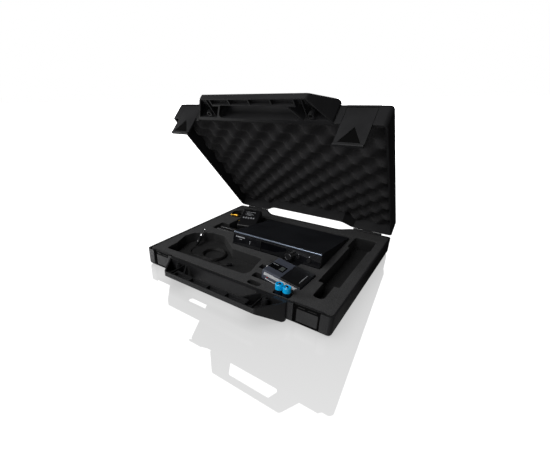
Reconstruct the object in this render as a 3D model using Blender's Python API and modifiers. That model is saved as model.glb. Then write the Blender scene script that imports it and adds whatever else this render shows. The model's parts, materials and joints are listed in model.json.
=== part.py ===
"""Attache-style carrying case with a wireless microphone set in die-cut foam.

Metres, +Z up.  Origin: bottom centre of the base tray.  +X is the right side seen from the
handle side, the handle points to -Y and the lid hinges at +Y.
"""
import math

import bmesh
import bpy
from mathutils import Matrix, Vector

# ---------------------------------------------------------------- driving dimensions
CASE_W = 0.412          # outer width of both halves
CASE_D = 0.362          # outer depth without the handle
HALF_H = 0.038          # height of each half
WALL = 0.003            # moulded wall
EDGE_R = 0.007          # rounding of the upright corners and the outer flat's edges
RIM_GAP = 0.0003        # clearance between the closed rims
OPEN_DEG = 44.5         # lid angle that the parts are laid out at
AXIS_Y = CASE_D / 2 + 0.004
AXIS_Z = HALF_H - 0.002
FIT = 0.0003            # clearance between touching pieces

RECESS_IN = 0.020       # step of the rear walls between the hinges
RECESS_OUT_X = 0.118    # where the chamfer of that step begins
RECESS_IN_X = 0.094     # where it ends

HANDLE_OUT = 0.0485     # reach of the handle from the front wall
BAR_HALF = 0.100        # half length of the grip bar's outer edge
BRACKET_HALF = 0.131    # half width of the handle at the wall
HOLE_HALF_OUT = 0.062   # finger hole, half width at the bar
HOLE_HALF_IN = 0.083    # finger hole, half width at the wall
BAR_DEPTH = 0.0145      # grip bar, front to back
BAR_H = 0.0095          # height of each half of the grip bar
PEG_X, PEG_Y = 0.099, -0.1940
BOSS_R = 0.0050         # boss around each peg or its socket
SOCKET_R = 0.0032
GRIP_RIBS = (-0.079, -0.040, 0.0, 0.040, 0.079)
DEEP_CELL = 0.0145      # floor of the handle's deeper cells
WEB_X, WEB_T = 0.0903, 0.0014

LATCH_X = 0.164         # latch centre line
LATCH_W = 0.044
LATCH_T = 0.0036
LATCH_UP = 0.031        # latch plate above the rim
LATCH_DOWN = 0.0365     # and below it
LATCH_PIN_R = 0.0008

HINGE_X = 0.152         # centre of each hinge
KNUCKLE_L = 0.0210      # length of one of its three knuckles
KNUCKLE_R = 0.0036
PIN_R = 0.0015

FOAM_TOP = HALF_H - 0.0008
SIDE_EDGE = 0.0034      # distance from the outer wall to the foam, sides
FRONT_EDGE = 0.0073     # the same at the latch side
LID_FOAM_T = 0.018
POCKET_TOP = 0.06       # every pocket is cut from this height down to its own floor
LEAD_FLOOR, MIC_FLOOR, KNOB_FLOOR, ANTENNA_FLOOR = 0.0142, 0.0080, 0.0240, 0.0262
ADAPTER_FLOOR, PACK_FLOOR, FINGER_FLOOR, SOCKET_FLOOR = 0.0045, 0.0165, 0.0200, 0.0220
OVAL_FLOOR, CELL_FLOOR = 0.0100, 0.0010      # the cells stand on the tray itself

RX_W, RX_D, RX_H = 0.202, 0.165, 0.036     # receiver
RX_X, RX_Y, RX_Z = 0.030, -0.0516, 0.0297  # its lower front edge
RX_TILT = 8.5
SHEET = 0.0012                             # its sheet metal

PACK_L, PACK_W, PACK_T = 0.078, 0.058, 0.022       # body-pack
PACK_AT = Vector((0.094, -0.1065, 0.0345))
PACK_TILT, PACK_YAW = 8.0, -3.0
CLIP_R = 0.0006                                    # wire clip along its front side, in the pack's axes
CLIP_ROUTE = [(-0.0285, -0.0300, -0.0042), (-0.0240, -0.0307, -0.0046), (-0.0020, -0.0308, -0.0052),
              (0.0170, -0.0307, -0.0060), (0.0215, -0.0300, -0.0062)]
LAMP_AT = (-0.026, -0.0020)                        # red lamp on the same side, along X and Z

AD_W, AD_L, AD_T = 0.050, 0.062, 0.034     # mains adapter
AD_AT = Vector((-0.111, 0.080, 0.0356))
AD_TILT, AD_YAW = 24.0, 14.0
AD_TURN = (Matrix.Rotation(math.radians(AD_YAW), 4, "Z")
           @ Matrix.Rotation(math.radians(AD_TILT), 4, "X"))

CELL_R, CELL_L = 0.0071, 0.0495            # AA cell
CELLS = [(0.1065, -0.1625), (0.1212, -0.1642)]

MIC_CORD_R = 0.0010
COIL_AT = Vector((-0.094, -0.090, 0.0146))
COIL_R, COIL_BAND, COIL_H = 0.0255, 0.0040, 0.0060
MIC_ROUTE = [(-0.1560, -0.0812, 0.0186), (-0.1562, -0.0850, 0.0164), (-0.1562, -0.0910, 0.0153),
             (-0.1535, -0.1000, 0.0153), (-0.1465, -0.1085, 0.0153), (-0.1365, -0.1130, 0.0153),
             (-0.1265, -0.1130, 0.0153), (-0.1195, -0.1098, 0.0153)]
TAIL_ROUTE = [(-0.0690, -0.1085, 0.0153), (-0.0640, -0.1130, 0.0153), (-0.0570, -0.1160, 0.0153),
              (-0.0490, -0.1155, 0.0160), (-0.0430, -0.1125, 0.0176)]

DC_CORD_R = 0.00175
DC_COIL_AT = Vector((-0.168, 0.122, 0.0205))
DC_COIL_R, DC_COIL_BAND, DC_COIL_H = 0.018, 0.00525, 0.0135
DC_ROUTE_A = [(-0.1311, 0.1112, 0.0512), (-0.1325, 0.1155, 0.0528), (-0.1355, 0.1200, 0.0535),
              (-0.1400, 0.1245, 0.0520), (-0.1430, 0.1300, 0.0480), (-0.1460, 0.1360, 0.0430),
              (-0.1520, 0.1395, 0.0385), (-0.1600, 0.1400, 0.0363)]
DC_ROUTE_B = [(-0.1640, 0.1042, 0.0363), (-0.1580, 0.1035, 0.0374), (-0.1530, 0.1020, 0.0390),
              (-0.1492, 0.0990, 0.0402), (-0.1480, 0.0950, 0.0412), (-0.1500, 0.0915, 0.0420),
              (-0.1540, 0.0900, 0.0425)]


# ---------------------------------------------------------------- scene and materials
def clear_scene():
    for old in list(bpy.data.objects):
        bpy.data.objects.remove(old, do_unlink=True)


def new_collection(name):
    made = bpy.data.collections.new(name)
    bpy.context.scene.collection.children.link(made)
    return made


def material(name, colour, roughness, metallic=0.0):
    mat = bpy.data.materials.new(name)
    mat.use_nodes = True
    shader = mat.node_tree.nodes["Principled BSDF"]
    shader.inputs["Base Color"].default_value = (*colour, 1.0)
    shader.inputs["Roughness"].default_value = roughness
    shader.inputs["Metallic"].default_value = metallic
    return mat


clear_scene()
PARTS = new_collection("wireless_set_case")
CUTTERS = new_collection("cutters")

SHELL = material("case_plastic", (0.018, 0.018, 0.020), 0.42)
FOAM = material("inlay_foam", (0.045, 0.045, 0.045), 0.95)
SOFT = material("lid_foam", (0.030, 0.030, 0.032), 0.97)
STEEL = material("steel", (0.55, 0.55, 0.56), 0.30, 1.0)
PAINT = material("receiver_paint", (0.020, 0.022, 0.030), 0.45)
TRIM = material("trim_metal", (0.25, 0.28, 0.34), 0.35, 1.0)
BLACK = material("black_plastic", (0.012, 0.012, 0.013), 0.30)
GLASS = material("window", (0.004, 0.004, 0.006), 0.08)
BOARD = material("circuit_board", (0.02, 0.10, 0.04), 0.55)
GREY = material("pack_grey", (0.060, 0.065, 0.085), 0.40)
SILVER = material("pack_silver", (0.60, 0.60, 0.62), 0.30, 0.6)
BLUE = material("cell_blue", (0.0, 0.30, 0.70), 0.35)
BRASS = material("gold", (0.80, 0.48, 0.08), 0.30, 0.8)
RUBBER = material("cord", (0.010, 0.010, 0.010), 0.50)
RED = material("led", (0.30, 0.01, 0.01), 0.25)


# ---------------------------------------------------------------- shape helpers
def place(mesh, name, look, group=PARTS):
    obj = bpy.data.objects.new(name, mesh)
    group.objects.link(obj)
    if look:
        mesh.materials.clear()
        mesh.materials.append(look)
    if group is CUTTERS:
        obj.hide_render = True
        obj.display_type = "WIRE"
    return obj


def from_bmesh(bm, name, look, group=PARTS):
    mesh = bpy.data.meshes.new(name)
    bm.to_mesh(mesh)
    bm.free()
    return place(mesh, name, look, group)


def box(name, low, high, look=None, round_edges=0.0, steps=2, group=PARTS):
    """Box from its lowest to its highest corner, with every edge rounded if asked."""
    low, high = Vector(low), Vector(high)
    bm = bmesh.new()
    bmesh.ops.create_cube(bm, size=1.0)
    bmesh.ops.scale(bm, vec=high - low, verts=bm.verts)
    bmesh.ops.translate(bm, vec=(low + high) / 2, verts=bm.verts)
    if round_edges:
        bmesh.ops.bevel(bm, geom=bm.edges[:], offset=round_edges, segments=steps,
                        affect="EDGES", profile=0.5)
    return from_bmesh(bm, name, look, group)


def rod(name, start, end, radius, look=None, sides=20, group=PARTS):
    """Round bar between two points."""
    start, end = Vector(start), Vector(end)
    run = end - start
    bm = bmesh.new()
    bmesh.ops.create_cone(bm, cap_ends=True, segments=sides, radius1=radius, radius2=radius,
                          depth=run.length)
    turn = Vector((0, 0, 1)).rotation_difference(run).to_matrix()
    bmesh.ops.rotate(bm, cent=(0, 0, 0), matrix=turn, verts=bm.verts)
    bmesh.ops.translate(bm, vec=(start + end) / 2, verts=bm.verts)
    return from_bmesh(bm, name, look, group)


def bake(obj):
    """Replaces an object's data by its evaluated mesh and drops its modifiers."""
    graph = bpy.context.evaluated_depsgraph_get()
    mesh = bpy.data.meshes.new_from_object(obj.evaluated_get(graph))
    obj.modifiers.clear()
    obj.data = mesh
    return obj


def turned(name, profile, look, steps=24, group=PARTS):
    """Turned about local Z; the profile runs from its top end to its lower end."""
    mesh = bpy.data.meshes.new(name)
    points = [(radius, 0.0, height) for radius, height in profile]
    mesh.from_pydata(points, [(i, i + 1) for i in range(len(points) - 1)], [])
    obj = place(mesh, name, None, group)
    screw = obj.modifiers.new("turn", "SCREW")
    screw.steps = screw.render_steps = steps
    screw.use_merge_vertices = True
    screw.merge_threshold = 0.00001
    bake(obj)
    obj.data.materials.append(look)
    return obj


def softened(points, radius, steps=4):
    """The outline with an arc at each corner; radius may be one value or one for each corner."""
    made = []
    count = len(points)
    for i, corner in enumerate(points):
        r = radius[i] if isinstance(radius, (list, tuple)) else radius
        here = Vector(corner)
        back = (Vector(points[i - 1]) - here).normalized()
        ahead = (Vector(points[(i + 1) % count]) - here).normalized()
        half = back.angle(ahead) / 2
        if r <= 0 or abs(half - math.pi / 2) < 0.01:
            made.append(here)
            continue
        centre = here + (back + ahead).normalized() * (r / math.sin(half))
        first = here + back * (r / math.tan(half)) - centre
        last = here + ahead * (r / math.tan(half)) - centre
        for k in range(steps + 1):
            share = k / steps
            spoke = first.lerp(last, share).normalized() * r
            made.append(centre + spoke)
    return made


def slab(name, outline, z0, z1, look=None, group=PARTS):
    """Flat outline between two heights, made as a filled curve and turned into a mesh."""
    curve = bpy.data.curves.new(name, "CURVE")
    curve.dimensions = "2D"
    curve.fill_mode = "BOTH"
    curve.extrude = (z1 - z0) / 2
    spline = curve.splines.new("POLY")
    spline.points.add(len(outline) - 1)
    for point, (x, y) in zip(spline.points, outline):
        point.co = (x, y, 0, 1)
    spline.use_cyclic_u = True
    shape = bpy.data.objects.new(name, curve)
    CUTTERS.objects.link(shape)
    shape.location.z = (z0 + z1) / 2
    bpy.context.view_layer.update()
    graph = bpy.context.evaluated_depsgraph_get()
    mesh = bpy.data.meshes.new_from_object(shape.evaluated_get(graph))
    mesh.transform(shape.matrix_world)
    bpy.data.objects.remove(shape)
    bm = bmesh.new()
    bm.from_mesh(mesh)
    bmesh.ops.remove_doubles(bm, verts=bm.verts, dist=0.00001)
    bmesh.ops.recalc_face_normals(bm, faces=bm.faces)
    return from_bmesh(bm, name, look, group)


def combine(obj, others, operation):
    """Boolean of one object with each of the others, which are then removed."""
    bpy.context.view_layer.update()
    for other in others:
        step = obj.modifiers.new(operation.lower(), "BOOLEAN")
        step.operation = operation
        step.object = other
    looks = list(obj.data.materials)
    bake(obj)
    obj.data.materials.clear()
    for look in looks:
        obj.data.materials.append(look)
    for other in others:
        bpy.data.objects.remove(other)
    return obj


def cut(obj, *cutters):
    return combine(obj, cutters, "DIFFERENCE")


def weld(obj, *others):
    return combine(obj, others, "UNION")


def smooth_round(obj, degrees=35):
    obj.data.shade_smooth()
    obj.data.set_sharp_from_angle(angle=math.radians(degrees))
    return obj


def move(obj, matrix):
    obj.data.transform(matrix)
    return obj


def anchor(name, location, matrix=None):
    empty = bpy.data.objects.new(name, None)
    PARTS.objects.link(empty)
    empty.matrix_world = Matrix.Translation(location) @ (matrix or Matrix.Identity(4))
    return empty


def attach(obj, empty, pivot=None):
    """Hangs obj on empty; pivot is where the empty is in the coordinates obj was drawn in."""
    obj.parent = empty
    obj.matrix_parent_inverse = Matrix.Translation(-Vector(pivot or (0, 0, 0)))
    return obj


def smooth_route(points, spacing):
    """Catmull-Rom curve through the points, read off at even steps."""
    nodes = [Vector(p) for p in points]
    nodes = [2 * nodes[0] - nodes[1]] + nodes + [2 * nodes[-1] - nodes[-2]]
    made = [nodes[1]]
    for a, b, c, d in zip(nodes, nodes[1:], nodes[2:], nodes[3:]):
        count = max(1, round((c - b).length / spacing))
        for k in range(1, count + 1):
            t = k / count
            made.append(0.5 * (2 * b + (c - a) * t + (2 * a - 5 * b + 4 * c - d) * t * t
                               + (3 * b - a - 3 * c + d) * t ** 3))
    return made


def tube(name, points, radius, look, spacing):
    """Round cord along a smooth curve through its route's points."""
    curve = bpy.data.curves.new(name, "CURVE")
    curve.dimensions = "3D"
    curve.bevel_depth = radius
    curve.bevel_resolution = 2
    curve.use_fill_caps = True
    route = smooth_route(points, spacing)
    spline = curve.splines.new("POLY")
    spline.points.add(len(route) - 1)
    for point, at in zip(spline.points, route):
        point.co = (*at, 1)
    curve.materials.append(look)
    obj = bpy.data.objects.new(name, curve)
    PARTS.objects.link(obj)
    return obj


def ring(name, centre, radius, band, height, look):
    """Outer shape of a coil: a turned ring of rectangular section with softened corners."""
    c = min(band, height / 2) * 0.3
    inner, outer = radius - band, radius + band
    profile = [(inner + c, height), (outer - c, height), (outer, height - c), (outer, c),
               (outer - c, 0), (inner + c, 0), (inner, c), (inner, height - c),
               (inner + c, height)]
    obj = turned(name, profile, look, steps=32)
    obj.location = centre
    return obj


# ---------------------------------------------------------------- case
HALF_W, HALF_D = CASE_W / 2, CASE_D / 2


def case_plan(inset=0.0):
    """Corners of a half's plan: a rectangle whose rear wall steps in between the hinges."""
    w, d = HALF_W - inset, HALF_D - inset
    rear = d - RECESS_IN
    slope = inset * 0.45
    return [(-w, -d), (w, -d), (w, d), (RECESS_OUT_X + slope, d), (RECESS_IN_X + slope, rear),
            (-RECESS_IN_X - slope, rear), (-RECESS_OUT_X - slope, d), (-w, d)]


def round_outside(obj):
    """Rounds the upright corners and the edges of the outer flat, but not the rim."""
    bm = bmesh.new()
    bm.from_mesh(obj.data)
    bmesh.ops.dissolve_limit(bm, angle_limit=0.01, verts=bm.verts, edges=bm.edges)
    edges = [e for e in bm.edges if min(v.co.z for v in e.verts) < 0.0001]
    bmesh.ops.bevel(bm, geom=edges, offset=EDGE_R, segments=3, affect="EDGES", profile=0.5,
                    clamp_overlap=False)
    bm.to_mesh(obj.data)
    bm.free()


def half_handle():
    """Half of the grip with its brackets: hollow, ribbed and open at the rim."""
    front = -HALF_D
    reach = front - HANDLE_OUT
    bar_in = reach + BAR_DEPTH
    plan = [(-BRACKET_HALF, front + 0.0015), (-BRACKET_HALF, front - 0.004), (-BAR_HALF, reach),
            (BAR_HALF, reach), (BRACKET_HALF, front - 0.004), (BRACKET_HALF, front + 0.0015)]
    body = slab("half_handle", softened(plan, [0, 0.004, 0.006, 0.006, 0.004, 0], 3), 0.0005, HALF_H)
    hole = [(-HOLE_HALF_IN, front - 0.0035), (-HOLE_HALF_OUT, bar_in),
            (HOLE_HALF_OUT, bar_in), (HOLE_HALF_IN, front - 0.0035)]
    hole = slab("finger_hole", softened(hole, 0.005, 3), -0.01, HALF_H + 0.01, group=CUTTERS)
    rise = HALF_H - BAR_H
    under = [(front - 0.006, -0.001), (reach - 0.02, rise * (HANDLE_OUT + 0.014) / (HANDLE_OUT - 0.006)),
             (reach - 0.02, -0.001)]
    wedge = slab("under_handle", under, -0.2, 0.2, group=CUTTERS)
    # the wedge is drawn in Y and Z; this turn puts its length along X
    move(wedge, Matrix(((0, 0, 1, 0), (1, 0, 0, 0), (0, 1, 0, 0), (0, 0, 0, 1))))
    cells = [box("cell", (left + 0.0011, reach + 0.0020, rise + 0.0028),
                 (right - 0.0011, bar_in - 0.0016, HALF_H + 0.01), group=CUTTERS)
             for left, right in zip(GRIP_RIBS, GRIP_RIBS[1:])]
    for side in (-1, 1):
        cells += bracket_cells(side, rise)
    cut(body, hole, wedge, *cells)
    bosses = [rod("boss", (side * PEG_X, PEG_Y, DEEP_CELL - 0.001), (side * PEG_X, PEG_Y, HALF_H),
                  BOSS_R, sides=24) for side in (-1, 1)]
    webs = [box("bracket_web", (side * WEB_X - WEB_T / 2, reach + 0.0015, rise + 0.0020),
                (side * WEB_X + WEB_T / 2, front - 0.0020, HALF_H - 0.0030)) for side in (-1, 1)]
    return weld(body, *bosses, *webs)


def bracket_cells(side, rise):
    """Open cells of one bracket: shallow over the bar's end, and deeper towards the case."""
    end = [(0.0801, -0.2275), (0.0979, -0.2275), (0.1058, -0.2160), (0.0801, -0.2160)]
    middle = [(0.0801, -0.2166), (0.1055, -0.2166), (0.1150, -0.2030), (0.0736, -0.2030),
              (0.0664, -0.2128), (0.0801, -0.2128)]
    deep = [(0.0731, -0.2040), (0.1143, -0.2040), (0.1275, -0.1855), (0.0855, -0.1855)]
    made = []
    for plan, floor in ((end, rise + 0.0028), (middle, rise - 0.0040), (deep, DEEP_CELL)):
        plan = [(side * x, y) for x, y in plan][::side]
        made.append(slab("bracket_cell", plan, floor, HALF_H + 0.01, group=CUTTERS))
    return made


def case_half(name):
    """One half, rim up: tray, half handle, latch recesses and hinge-side step."""
    tray = slab(name, case_plan(), 0.0, HALF_H, SHELL)
    round_outside(tray)
    weld(tray, half_handle())
    inner_r = EDGE_R - WALL
    radii = [inner_r] * 3 + [0.001] * 4 + [inner_r]
    inside = slab("inside", softened(case_plan(WALL), radii), WALL, HALF_H + 0.01, group=CUTTERS)
    backing = [box("latch_backing", (side * LATCH_X - 0.026, -HALF_D - 0.01, -0.01),
                   (side * LATCH_X + 0.026, -HALF_D + 0.0068, HALF_H + 0.02), group=CUTTERS)
               for side in (-1, 1)]
    cut(inside, *backing)
    recess = [box("latch_recess",
                  (side * LATCH_X - LATCH_W / 2 - 0.0005, -HALF_D - 0.01, -0.01),
                  (side * LATCH_X + LATCH_W / 2 + 0.0005, -HALF_D + 0.0038, HALF_H + 0.01),
                  group=CUTTERS) for side in (-1, 1)]
    return cut(tray, inside, *recess)


def knuckle(x, reach_z):
    """Hinge knuckle centred at x with the web that joins it to the rear wall."""
    half = KNUCKLE_L / 2
    barrel = rod("knuckle", (x - half, AXIS_Y, AXIS_Z), (x + half, AXIS_Y, AXIS_Z), KNUCKLE_R)
    low, high = sorted((AXIS_Z, reach_z))
    near = HALF_D - 0.0010 if reach_z < AXIS_Z else HALF_D + 0.0006
    web = box("web", (x - half, near, low), (x + half, AXIS_Y + 0.0005, high))
    if reach_z > AXIS_Z:
        heel = box("heel", (x - half, HALF_D - 0.0010, HALF_H + RIM_GAP + 0.0006),
                   (x + half, HALF_D + 0.0020, high))
        weld(web, heel)
    return weld(barrel, web)


def hinge_bores():
    return [rod("bore", (side * HINGE_X - 0.04, AXIS_Y, AXIS_Z), (side * HINGE_X + 0.04, AXIS_Y, AXIS_Z),
                PIN_R + FIT, group=CUTTERS) for side in (-1, 1)]


def build_base():
    base = case_half("base_shell")
    step = KNUCKLE_L + 0.0004
    outer = [knuckle(side * HINGE_X + end * step, AXIS_Z - 0.010) for side in (-1, 1) for end in (-1, 1)]
    pegs = [rod("peg", (side * PEG_X, PEG_Y, HALF_H - 0.003), (side * PEG_X, PEG_Y, HALF_H + 0.0032),
                0.0026, sides=16) for side in (-1, 1)]
    weld(base, *outer, *pegs)
    slots = [box("catch_slot", (side * LATCH_X - 0.0095, -HALF_D + 0.0030, HALF_H - 0.009),
                 (side * LATCH_X + 0.0095, -HALF_D + 0.0052, HALF_H - 0.004), group=CUTTERS)
             for side in (-1, 1)]
    cut(base, *hinge_bores(), *slots)
    return base


def build_lid(axis):
    """Lid shell, drawn closed on the base and hung on the hinge axis."""
    lid = case_half("lid_shell")
    turn = Matrix.Translation((0, 0, 2 * HALF_H + RIM_GAP)) @ Matrix.Rotation(math.pi, 4, "Y")
    move(lid, turn)
    weld(lid, *[knuckle(side * HINGE_X, AXIS_Z + 0.012) for side in (-1, 1)])
    sockets = [rod("socket", (side * PEG_X, PEG_Y, HALF_H - 0.001),
                   (side * PEG_X, PEG_Y, HALF_H + RIM_GAP + 0.006), SOCKET_R, sides=16,
                   group=CUTTERS)
               for side in (-1, 1)]
    top = HALF_H + LATCH_UP + 0.0006
    fills = [box("recess_end", (side * LATCH_X - LATCH_W / 2 - 0.002, -HALF_D, top),
                 (side * LATCH_X + LATCH_W / 2 + 0.002, -HALF_D + 0.0045, 2 * HALF_H - 0.0035))
             for side in (-1, 1)]
    weld(lid, *fills)
    pins = [rod("pin_hole", latch_pin_end(side, -1, 0.0032), latch_pin_end(side, 1, 0.0032),
                LATCH_PIN_R + 0.0002, sides=12, group=CUTTERS) for side in (-1, 1)]
    cut(lid, *hinge_bores(), *sockets, *pins)
    return attach(smooth_round(lid), axis, AXIS)


def latch_pin_end(side, end, extra):
    return (side * LATCH_X + end * (LATCH_W / 2 + extra), LATCH_AXIS_Y, LATCH_AXIS_Z)


AXIS = Vector((0, AXIS_Y, AXIS_Z))
LATCH_AXIS_Y = -HALF_D + LATCH_T / 2 - 0.0002
LATCH_AXIS_Z = HALF_H + LATCH_UP - LATCH_T / 2


def build_latch(name, side, axis):
    """Flat latch plate with a pin eye at its upper end and a finger lip at its tip."""
    x0, x1 = side * LATCH_X - LATCH_W / 2, side * LATCH_X + LATCH_W / 2
    front, back = LATCH_AXIS_Y - LATCH_T / 2, LATCH_AXIS_Y + LATCH_T / 2
    tip = HALF_H - LATCH_DOWN
    plate = box(name, (x0, front, tip), (x1, back, LATCH_AXIS_Z), SHELL)
    eye = rod("eye", (x0, LATCH_AXIS_Y, LATCH_AXIS_Z), (x1, LATCH_AXIS_Y, LATCH_AXIS_Z), LATCH_T / 2)
    lip = box("lip", (x0, front - 0.0014, tip), (x1, front + 0.001, tip + 0.0034), None, 0.0005, 1)
    weld(plate, eye, lip)
    centre = side * LATCH_X
    triangle = [(centre - 0.0165, tip + 0.0055), (centre + 0.0165, tip + 0.0055), (centre, tip + 0.0325)]
    mark = slab("triangle", triangle, -0.0012, 0.004, group=CUTTERS)
    # the outline is drawn in X and Z; this turn stands it up in the plate's front face
    move(mark, Matrix(((1, 0, 0, 0), (0, 0, -1, front), (0, 1, 0, 0), (0, 0, 0, 1))))
    bore = rod("bore", (x0 - 0.01, LATCH_AXIS_Y, LATCH_AXIS_Z), (x1 + 0.01, LATCH_AXIS_Y, LATCH_AXIS_Z),
               LATCH_PIN_R + 0.0003, sides=12, group=CUTTERS)
    cut(plate, mark, bore)
    return attach(plate, axis, AXIS)


def build_pins(axis):
    for side, word in ((-1, "left"), (1, "right")):
        ends = [(side * HINGE_X + end * 0.031, AXIS_Y, AXIS_Z) for end in (-1, 1)]
        rod(f"hinge_pin_{word}", *ends, PIN_R, STEEL, 16)
        pin = rod(f"latch_pin_{word}", latch_pin_end(side, -1, 0.0028), latch_pin_end(side, 1, 0.0028),
                  LATCH_PIN_R, STEEL, 10)
        attach(pin, axis, AXIS)


# ---------------------------------------------------------------- foam
def turned_rectangle(centre, length, width, degrees):
    turn = Matrix.Rotation(math.radians(degrees), 2)
    corners = [(-length / 2, -width / 2), (length / 2, -width / 2), (length / 2, width / 2),
               (-length / 2, width / 2)]
    return [Vector(centre[:2]) + turn @ Vector(c) for c in corners]


def lead_pocket():
    outline = [(-0.173, -0.155), (0.026, -0.149), (0.031, -0.134), (0.021, -0.0765), (-0.056, -0.0735),
               (-0.084, -0.050), (-0.109, -0.031), (-0.142, -0.031), (-0.180, -0.056), (-0.187, -0.082),
               (-0.174, -0.122)]
    radii = [0.006, 0.008, 0.014, 0.006, 0.010, 0.020, 0.012, 0.014, 0.012, 0.016, 0.010]
    return slab("lead_pocket", softened(outline, radii), LEAD_FLOOR, POCKET_TOP, group=CUTTERS)


def mic_slots():
    """Stepped slot for a handheld microphone: head, body and tail."""
    head = slab("mic_head", softened([(0.141, 0.074), (0.187, 0.074), (0.187, 0.138), (0.141, 0.138)],
                                     0.007), MIC_FLOOR, POCKET_TOP, group=CUTTERS)
    body = slab("mic_body", softened([(0.146, -0.094), (0.184, -0.094), (0.184, 0.080), (0.146, 0.080)],
                                     0.002, 2), MIC_FLOOR, POCKET_TOP, group=CUTTERS)
    tail = slab("mic_tail", softened([(0.156, -0.143), (0.1755, -0.143), (0.1755, -0.088), (0.156, -0.088)],
                                     [0.0075, 0.0075, 0, 0]), MIC_FLOOR, POCKET_TOP, group=CUTTERS)
    return [head, body, tail]


def receiver_pocket():
    """Straight-sided pocket whose floor follows the inclined receiver."""
    half = RX_W / 2 + 0.0014
    y0, y1 = RX_Y - 0.0012, RX_Y + RX_D + 0.0048
    bed = RX_Z - FIT - 0.0004
    tilt = math.tan(math.radians(RX_TILT))
    side = [(y0, bed + (RX_Y - y0) * tilt), (y1, bed - (y1 - RX_Y) * tilt), (y1, 0.07), (y0, 0.07)]
    pocket = slab("receiver_pocket", side, RX_X - half, RX_X + half, group=CUTTERS)
    return move(pocket, Matrix(((0, 0, 1, 0), (1, 0, 0, 0), (0, 1, 0, 0), (0, 0, 0, 1))))


def pocket(name, corners, radius, floor):
    return slab(name, softened(corners, radius), floor, POCKET_TOP, group=CUTTERS)


def foam_cutters():
    knob = pocket("knob_notch", [(0.058, -0.067), (0.092, -0.067), (0.096, -0.050), (0.054, -0.050)],
                  0.003, KNOB_FLOOR)
    antenna = pocket("antenna_pocket", [(-0.168, -0.006), (-0.080, -0.006), (-0.080, 0.038),
                                        (-0.168, 0.038)], 0.006, ANTENNA_FLOOR)
    adapter = pocket("adapter_pocket", [(-0.147, 0.030), (-0.076, 0.030), (-0.076, 0.128),
                                        (-0.147, 0.128)], 0.006, ADAPTER_FLOOR)
    lead = rod("dc_lead_pocket", (DC_COIL_AT.x, DC_COIL_AT.y, DC_COIL_AT.z - 0.0005),
               (DC_COIL_AT.x, DC_COIL_AT.y, POCKET_TOP), 0.0262, sides=32, group=CUTTERS)
    pack = pocket("pack_pocket", turned_rectangle(PACK_AT, PACK_L + 0.005, PACK_W + 0.004, PACK_YAW),
                  0.004, PACK_FLOOR)
    finger = pocket("pack_finger_notch", [(0.040, -0.147), (0.125, -0.147), (0.125, -0.129),
                                          (0.040, -0.129)], 0.003, FINGER_FLOOR)
    stub = pocket("socket_notch", [(0.034, -0.113), (0.060, -0.113), (0.060, -0.096), (0.034, -0.096)],
                  0.003, SOCKET_FLOOR)
    oval = pocket("oval_hole", turned_rectangle((0.058, -0.1635), 0.027, 0.0150, 0), 0.0072, OVAL_FLOOR)
    cells = pocket("cell_pocket", [(0.0980, -0.1722), (0.1297, -0.1722), (0.1297, -0.1545),
                                   (0.0980, -0.1545)], 0.0035, CELL_FLOOR)
    return [knob, antenna, adapter, lead, pack, finger, stub, oval, cells, receiver_pocket(),
            lead_pocket(), *mic_slots()]


def foam_outline():
    side, front, rear = HALF_W - SIDE_EDGE, -HALF_D + FRONT_EDGE, HALF_D - WALL - 2 * FIT
    inner = rear - RECESS_IN
    x0, x1 = RECESS_IN_X + 0.0022, RECESS_OUT_X + 0.0022
    corners = [(-side, front), (side, front), (side, rear), (x1, rear), (x0, inner), (-x0, inner),
               (-x1, rear), (-side, rear)]
    return softened(corners, [0.004, 0.004, 0.004, 0.001, 0.001, 0.001, 0.001, 0.004], 3)


def build_foams(axis):
    inlay = slab("foam_inlay", foam_outline(), WALL + FIT, FOAM_TOP, FOAM)
    for cutter in foam_cutters():
        cut(inlay, cutter)
    top = 2 * HALF_H + RIM_GAP - WALL - FIT
    lining = slab("lid_foam", foam_outline(), top - LID_FOAM_T, top, SOFT)
    return attach(lining, axis, AXIS)


# ---------------------------------------------------------------- receiver
KNOB_AT = (0.040, 0.0, 0.0175)
SMALL_BUTTON_AT = (0.0557, 0.0, 0.0175)
POWER_BUTTON_AT = (0.078, 0.0, 0.0165)
WINDOW = ((-0.0300, 0.0060), (0.0290, 0.0285))
PANEL_T = 0.004
REAR_Y = 0.1500
SCREW_Y, SCREW_Z = (0.030, 0.130), 0.0065


def receiver_front(at):
    w = RX_W / 2
    trim_h = 0.0036
    panel = box("receiver_front_panel", (-w, 0, 0), (w, PANEL_T, RX_H - trim_h - FIT), BLACK)
    (x0, z0), (x1, z1) = WINDOW
    opening = box("opening", (x0, -0.01, z0), (x1, 0.01, z1), group=CUTTERS)
    holes = [rod("hole", (p[0], -0.01, p[2]), (p[0], 0.01, p[2]), r + 0.0003, sides=24, group=CUTTERS)
             for p, r in ((KNOB_AT, 0.0030), (SMALL_BUTTON_AT, 0.0034), (POWER_BUTTON_AT, 0.0044))]
    cut(panel, opening, *holes)
    trim = box("receiver_front_trim", (-w, -0.0004, RX_H - trim_h), (w, PANEL_T, RX_H), TRIM, 0.0010, 2)
    lens = box("receiver_window", (x0 + FIT, 0.0003, z0 + FIT), (x1 - FIT, 0.0023, z1 - FIT), GLASS)
    for piece in (panel, trim, lens):
        attach(piece, at)


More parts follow.
